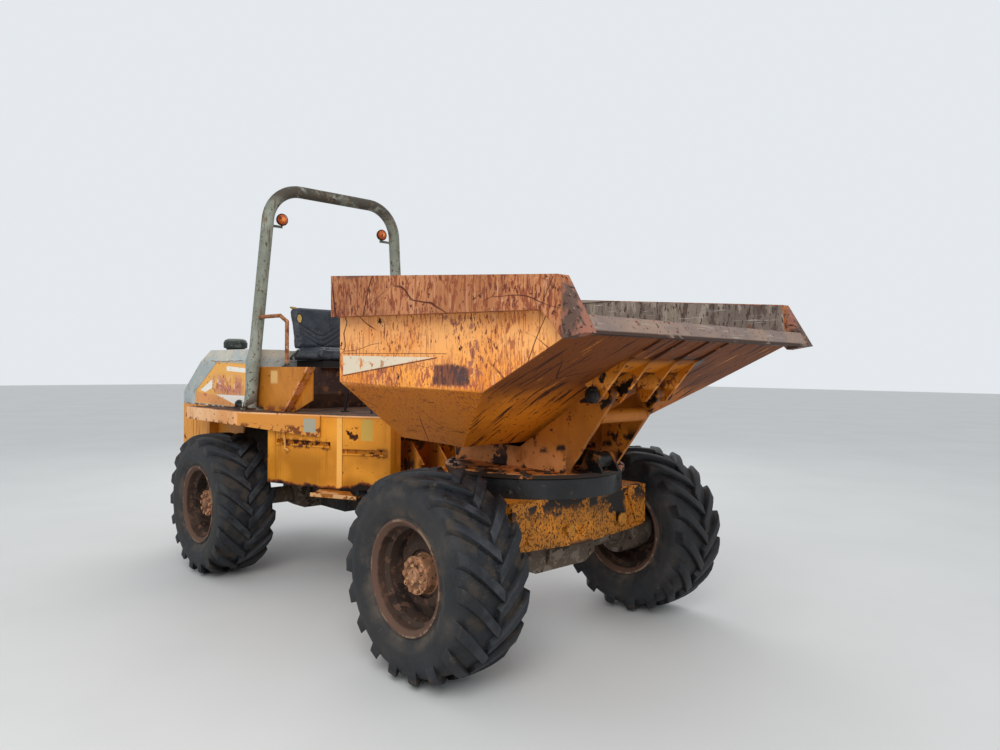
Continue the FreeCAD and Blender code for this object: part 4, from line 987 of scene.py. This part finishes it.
def blown(name, rings, voxel, cap, resting):
    """Swells a closed pad under pressure as its stuffing does, and returns its mesh in bmesh."""
    bm = bmesh.new()
    loft(bm, rings)
    mesh = bpy.data.meshes.new(name)
    bm.to_mesh(mesh)
    bm.free()
    scene = bpy.context.scene
    pad = bpy.data.objects.new(name, mesh)
    scene.collection.objects.link(pad)
    remesh = pad.modifiers.new("voxels", "REMESH")
    remesh.mode = "VOXEL"
    remesh.voxel_size = voxel
    bpy.context.view_layer.update()
    even = bpy.data.meshes.new_from_object(pad.evaluated_get(bpy.context.evaluated_depsgraph_get()))
    pad.modifiers.remove(remesh)
    pad.data = even
    start = [v.co.copy() for v in even.vertices]
    held = pad.vertex_groups.new(name="held")
    held.add([i for i, co in enumerate(start) if resting(co)], 1.0, "REPLACE")
    cloth = pad.modifiers.new("vinyl", "CLOTH")
    cloth.settings.vertex_group_mass = "held"
    cloth.settings.use_pressure = True
    cloth.settings.uniform_pressure_force = 4.0
    cloth.settings.effector_weights.gravity = 0.0
    cloth.settings.tension_stiffness = 12
    cloth.settings.compression_stiffness = 12
    cloth.settings.bending_stiffness = 4
    cloth.point_cache.frame_start = 1
    cloth.point_cache.frame_end = 20
    for number in range(1, 21):
        scene.frame_set(number)
    after = pad.evaluated_get(bpy.context.evaluated_depsgraph_get()).data
    ends = [v.co.copy() for v in after.vertices]
    pad.modifiers.remove(cloth)
    scene.frame_set(1)
    for vertex, a, b in zip(even.vertices, start, ends):
        move = b - a
        vertex.co = a + move * min(1.0, cap / max(move.length, 1e-9))
    bm = bmesh.new()
    bm.from_mesh(even)
    bpy.data.objects.remove(pad)
    return bm


def sewn(bm, depth_at, into):
    """Presses a pad in by depth_at(point) along the direction given."""
    for v in bm.verts:
        depth = depth_at(v.co)
        if depth:
            v.co += Vector(into) * depth


BACK = {"foot_z": 1.652, "top_z": 1.992, "front": (-1.2165, -1.281), "rear": (-1.2865, -1.346)}
BACK_ROWS = (
    (0.0, 0.020), (0.05, 0.010), (0.2, 0.006), (0.5, 0.006), (0.8, 0.006), (0.95, 0.010), (1.0, 0.024),
)
rings = []
for grow, inset in BACK_ROWS:
    z = BACK["foot_z"] + (BACK["top_z"] - BACK["foot_z"]) * grow
    front, rear = (BACK[f][0] + (BACK[f][1] - BACK[f][0]) * grow for f in ("front", "rear"))
    half = 0.222 + 0.016 * grow - inset / 2
    rings.append(rounded((front + rear) / 2, 0.0, (front - rear) / 2 - inset / 2, half, 0.022, z))
back = blown("back_pad", rings, 0.006, 0.011, lambda co: co.z < 1.658)


def back_channels(co):
    """Depth of the sewn channels and the creases in the front of the seat back."""
    lean = (co.z - 1.6553) * 0.1885
    facing = co.x + lean + 1.2085
    if facing < -0.045:
        return 0.0
    depth = 0.0
    level = co.z - 0.62 * math.sqrt(co.y * co.y + 0.0012)
    for line in (1.655, 1.695, 1.735):
        fade = min(1.0, max(0.0, (0.205 - abs(co.y)) / 0.03))
        depth += 0.006 * fade * math.exp(-((level - line) / 0.0065) ** 2)
    if 1.69 < co.z < 1.97:
        depth += 0.004 * math.exp(-((0.205 - abs(co.y)) / 0.006) ** 2)
    hole = math.hypot((co.y + 0.178) / 0.019, (co.z - 1.893) / 0.034)
    depth += 0.008 * max(0.0, 1.0 - hole)
    return depth


sewn(back, back_channels, (-0.98, 0, -0.18))
for v in back.verts:
    corner = max(0.0, 1.0 - math.hypot((v.co.y + 0.235) / 0.07, (v.co.z - 1.99) / 0.05))
    v.co.z -= 0.020 * corner
    v.co.y += 0.010 * corner

vinyl = Finish("black_vinyl", "1F242D", 0.42, 0.0, 0.4)
vinyl.coat(vinyl.mottle(6, 4, 0.44, 0.62), "2E333B", 0.5)
vinyl.coat(vinyl.spots(13, 0.2), "191C20", 0.4)
dust = vinyl.mottle(3.5, 4, 0.50, 0.66)
vinyl.coat(dust, "41454C", 0.65)
vinyl.coat(vinyl.scratches(9, 0.0012), "55585C", 0.6)
TEAR = {"middle": (0.0, -0.178, 1.893), "stretch": (0.0, 52.0, 29.0)}
split = vinyl.along("MULTIPLY", vinyl.along("SUBTRACT", vinyl.place, TEAR["middle"]), TEAR["stretch"])
split = vinyl.add("ShaderNodeVectorMath", {0: split}, operation="LENGTH").outputs["Value"]
split = vinyl.wavy(split, 60, 3, 0.8)
forward = vinyl.step(vinyl.sum("MULTIPLY_ADD", vinyl.z, 0.1885, vinyl.x), -0.925, -0.91)
vinyl.coat((forward, vinyl.step(split, 1.62, 1.50)), "15120F", 0.9)
vinyl.coat((forward, vinyl.step(split, 1.38, 1.26)), "B89A5A", 0.95)
gash = vinyl.wavy(vinyl.z, 22, 3, 0.016)
front_edge = vinyl.both(vinyl.step(vinyl.x, -0.848, -0.842), vinyl.step(vinyl.y, 0.0, 0.04))
vinyl.coat((front_edge, vinyl.band(gash, 1.611, 1.628, 0.003)), "A8966A", 0.95)
grain = vinyl.add("ShaderNodeTexVoronoi", {"Vector": vinyl.place, "Scale": 420.0}, feature="F1")
vinyl.bump(grain.outputs["Distance"], 0.0005)
vinyl.grit(40, 4, 0.0016)
vinyl_material = vinyl.done()
seat_back = piece("seat_back_pad", back, vinyl_material, "rear_chassis", ["seat_back"], 80)
softened(seat_back)

rings = []
for grow, inset in ((0.0, 0.012), (0.12, 0.004), (0.5, 0.0), (0.85, 0.006), (1.0, 0.026)):
    rings.append(rounded(-1.0535, 0.0, 0.222 - inset, 0.236 - inset, 0.04, 1.5585 + 0.088 * grow))
cushion = blown("cushion_pad", rings, 0.006, 0.012, lambda co: co.z < 1.563)


def cushion_channels(co):
    """Depth of the cushion's border seam, cross channels and the dip where the driver sits."""
    if co.z < 1.60:
        return 0.0
    dip = 0.010 * math.exp(-((co.x + 1.06) / 0.13) ** 2 - (co.y / 0.13) ** 2)
    for line in (-1.16, -1.06, -0.96):
        if abs(co.y) < 0.19:
            dip += 0.005 * math.exp(-((co.x - line) / 0.006) ** 2)
    edge = max(abs(co.x + 1.0535) - 0.192, abs(co.y) - 0.205)
    return dip + 0.004 * math.exp(-(edge / 0.006) ** 2)


sewn(cushion, cushion_channels, (0, 0, -1))
seat_pad = piece(
    "seat_cushion_pad", cushion, vinyl_material, "rear_chassis", ["seat_cushion"], 80,
)
softened(seat_pad)

foam = bmesh.new()
dice = random.Random(11)
rings = []
for k in range(9):
    y = -0.232 + 0.010 * k
    r = 0.011 * math.sin(math.pi * (k + 0.6) / 9.4) + 0.003
    lift = 1.984 - 0.002 * k
    rings.append([
        (-1.318 + r * 1.5 * math.cos(a), y, lift + r * (0.9 + dice.uniform(-0.25, 0.25)) * math.sin(a))
        for a in around(10)
    ])
loft(foam, rings)
crumb = Finish("seat_foam", "A98F52", 0.95)
crumb.coat(crumb.spots(60, 0.35), "6E5A32", 0.95)
crumb.coat(crumb.spots(25, 0.3), "C9B27A", 0.95)
crumb.grit(260, 3, 0.0015)
torn = piece("torn_foam", foam, crumb.done(), "rear_chassis", smooth=60)
softened(torn)

arm_rest = bmesh.new()
forged_rod(arm_rest, (-1.255, -0.262, 1.572), (-1.105, -0.262, 1.640), 0.0085, random.Random(5), 0.02)
forged_rod(arm_rest, (-1.255, -0.262, 1.572), (-1.255, -0.236, 1.566), 0.0085, random.Random(6), 0.01)
worn_rod = Finish("lever_grey", "8A8880", 0.5, 0.4)
worn_rod.coat(worn_rod.spots(30, 0.35), "5A4E46", 0.7)
piece("seat_lever", arm_rest, worn_rod.done(), "rear_chassis", smooth=60)

pan = Finish("seat_box_brown", "372723", 0.7)
pan.coat(pan.mottle(6, 4, 0.45, 0.6), "4E372C", 0.75)
pan.coat(pan.spots(18, 0.25), "6B4630", 0.85)
pan.coat(pan.step(pan.z, 1.50, 1.505), "1F1D1D", 0.6)
pan.grit(45, 4, 0.001)
dress(pan.done(), "seat_box", "steering_column")


# Steering wheel and lever
# Moulded black plastic on steel, shiny where hands have held it.
# Three pedals on bent steel stalks stand below it.
plastic = Finish("black_plastic", "1E1F21", 0.35)
plastic.coat(plastic.spots(12, 0.4), "2B2C2E", 0.55)
plastic.coat(plastic.spots(40, 0.12), "55514B", 0.8)
plastic.grit(180, 3, 0.0005)
dress(plastic.done(), "steering_wheel", "hand_lever")

PEDAL = ((-0.035, 0.0), (0.035, 0.0), (0.038, 0.06), (0.030, 0.105), (-0.030, 0.105), (-0.038, 0.06))
pedals = bmesh.new()
for y in (-0.215, 0.175, 0.275):
    rings = [[(-0.215 + b * 0.45 + out, y + a, 1.245 + b * 0.89) for a, b in PEDAL] for out in (0.0, 0.008)]
    loft(pedals, rings)
    forged_rod(pedals, (-0.190, y, 1.285), (-0.150, y, 1.1875), 0.008, random.Random(2), 0.02)
piece("pedals", pedals, strap_material, "rear_chassis", smooth=40)


# Tail lamps
# Twin red lenses in a black case on the ballast plate.
# Fine rings are moulded into each round lens.
tail = Finish("tail_red", "7E1A14", 0.25)
lens_radius = tail.sum("MINIMUM", *(tail.spread(tail.side, y, 1.055) for y in (0.538, 0.602)))
tail.coat(tail.step(lens_radius, 0.0285, 0.0295), "1C1B1B", 0.55)
ripple = tail.sum("SINE", tail.sum("MULTIPLY", lens_radius, 1500.0))
tail.coat((tail.step(lens_radius, 0.028, 0.027), tail.step(ripple, 0.0, 0.9)), "A02A20", 0.25)
tail.coat(tail.spots(30, 0.15), "5A4A40", 0.8)
tail.bump(ripple, 0.0004)
dress(tail.done(), "tail_lamp_left", "tail_lamp_right")


# Engine and gearbox
# Cast iron, black with oil and furred with dust.
# Both hang between the rails of the rear frame.
oily = Finish("oily_iron", "2E2C2A", 0.6)
oily.coat(oily.spots(6, 0.4), "45403A", 0.75)
oily.coat(oily.spots(20, 0.3), "1A1817", 0.35)
oily.coat(oily.spots(40, 0.15), "6E6254", 0.9)
oily.grit(30, 4, 0.003)
dress(oily.done(), "engine_block", "gearbox")


# Floor, light and camera
# A plain pale floor under soft light, seen from the photograph's place.
# The floor belongs to the picture and not to the machine.
floor_mesh = bmesh.new()
bmesh.ops.create_grid(floor_mesh, x_segments=1, y_segments=1, size=60)
floor_data = bpy.data.meshes.new("floor")
floor_mesh.to_mesh(floor_data)
floor_mesh.free()
floor = bpy.data.objects.new("floor", floor_data)
bpy.context.scene.collection.objects.link(floor)
concrete = Finish("pale_floor", "CECECC", 0.6)
concrete.coat(concrete.mottle(0.6, 3, 0.3, 0.7), "CACAC8", 0.62)
floor_data.materials.append(concrete.done())

world = bpy.data.worlds.new("sky")
bpy.context.scene.world = world
world.use_nodes = True
sky = world.node_tree.nodes["Background"]
sky.inputs["Color"].default_value = (0.92, 0.96, 1.0, 1)
sky.inputs["Strength"].default_value = 0.85

for name, place, turn, size, power in (
    ("key", (5.5, -5.5, 6.0), (48, 0, 42), 5.0, 420),
    ("back", (-5.0, 4.0, 5.5), (-50, 0, 55), 5.0, 160),
):
    lamp = bpy.data.lights.new(name, "AREA")
    lamp.size = size
    lamp.energy = power
    lamp_object = bpy.data.objects.new(name, lamp)
    lamp_object.location = place
    lamp_object.rotation_euler = [math.radians(a) for a in turn]
    bpy.context.scene.collection.objects.link(lamp_object)

CAMERA = {"place": (4.1915, -3.07, 1.501), "yaw": 43.09, "pitch": -0.46, "roll": -0.48, "lens": 26.73}
yaw, pitch, roll = (math.radians(CAMERA[k]) for k in ("yaw", "pitch", "roll"))
ahead = Vector((-math.cos(yaw) * math.cos(pitch), math.sin(yaw) * math.cos(pitch), math.sin(pitch)))
right = ahead.cross(Vector((0, 0, 1))).normalized()
down = ahead.cross(right)
across = right * math.cos(roll) + down * math.sin(roll)
below = down * math.cos(roll) - right * math.sin(roll)
lens = bpy.data.cameras.new("camera")
lens.lens = CAMERA["lens"]
lens.sensor_width = 36.0
camera = bpy.data.objects.new("camera", lens)
camera.matrix_world = Matrix((across, -below, -ahead)).transposed().to_4x4()
camera.location = CAMERA["place"]
bpy.context.scene.collection.objects.link(camera)
bpy.context.scene.camera = camera
bpy.context.scene.view_settings.view_transform = "Standard"
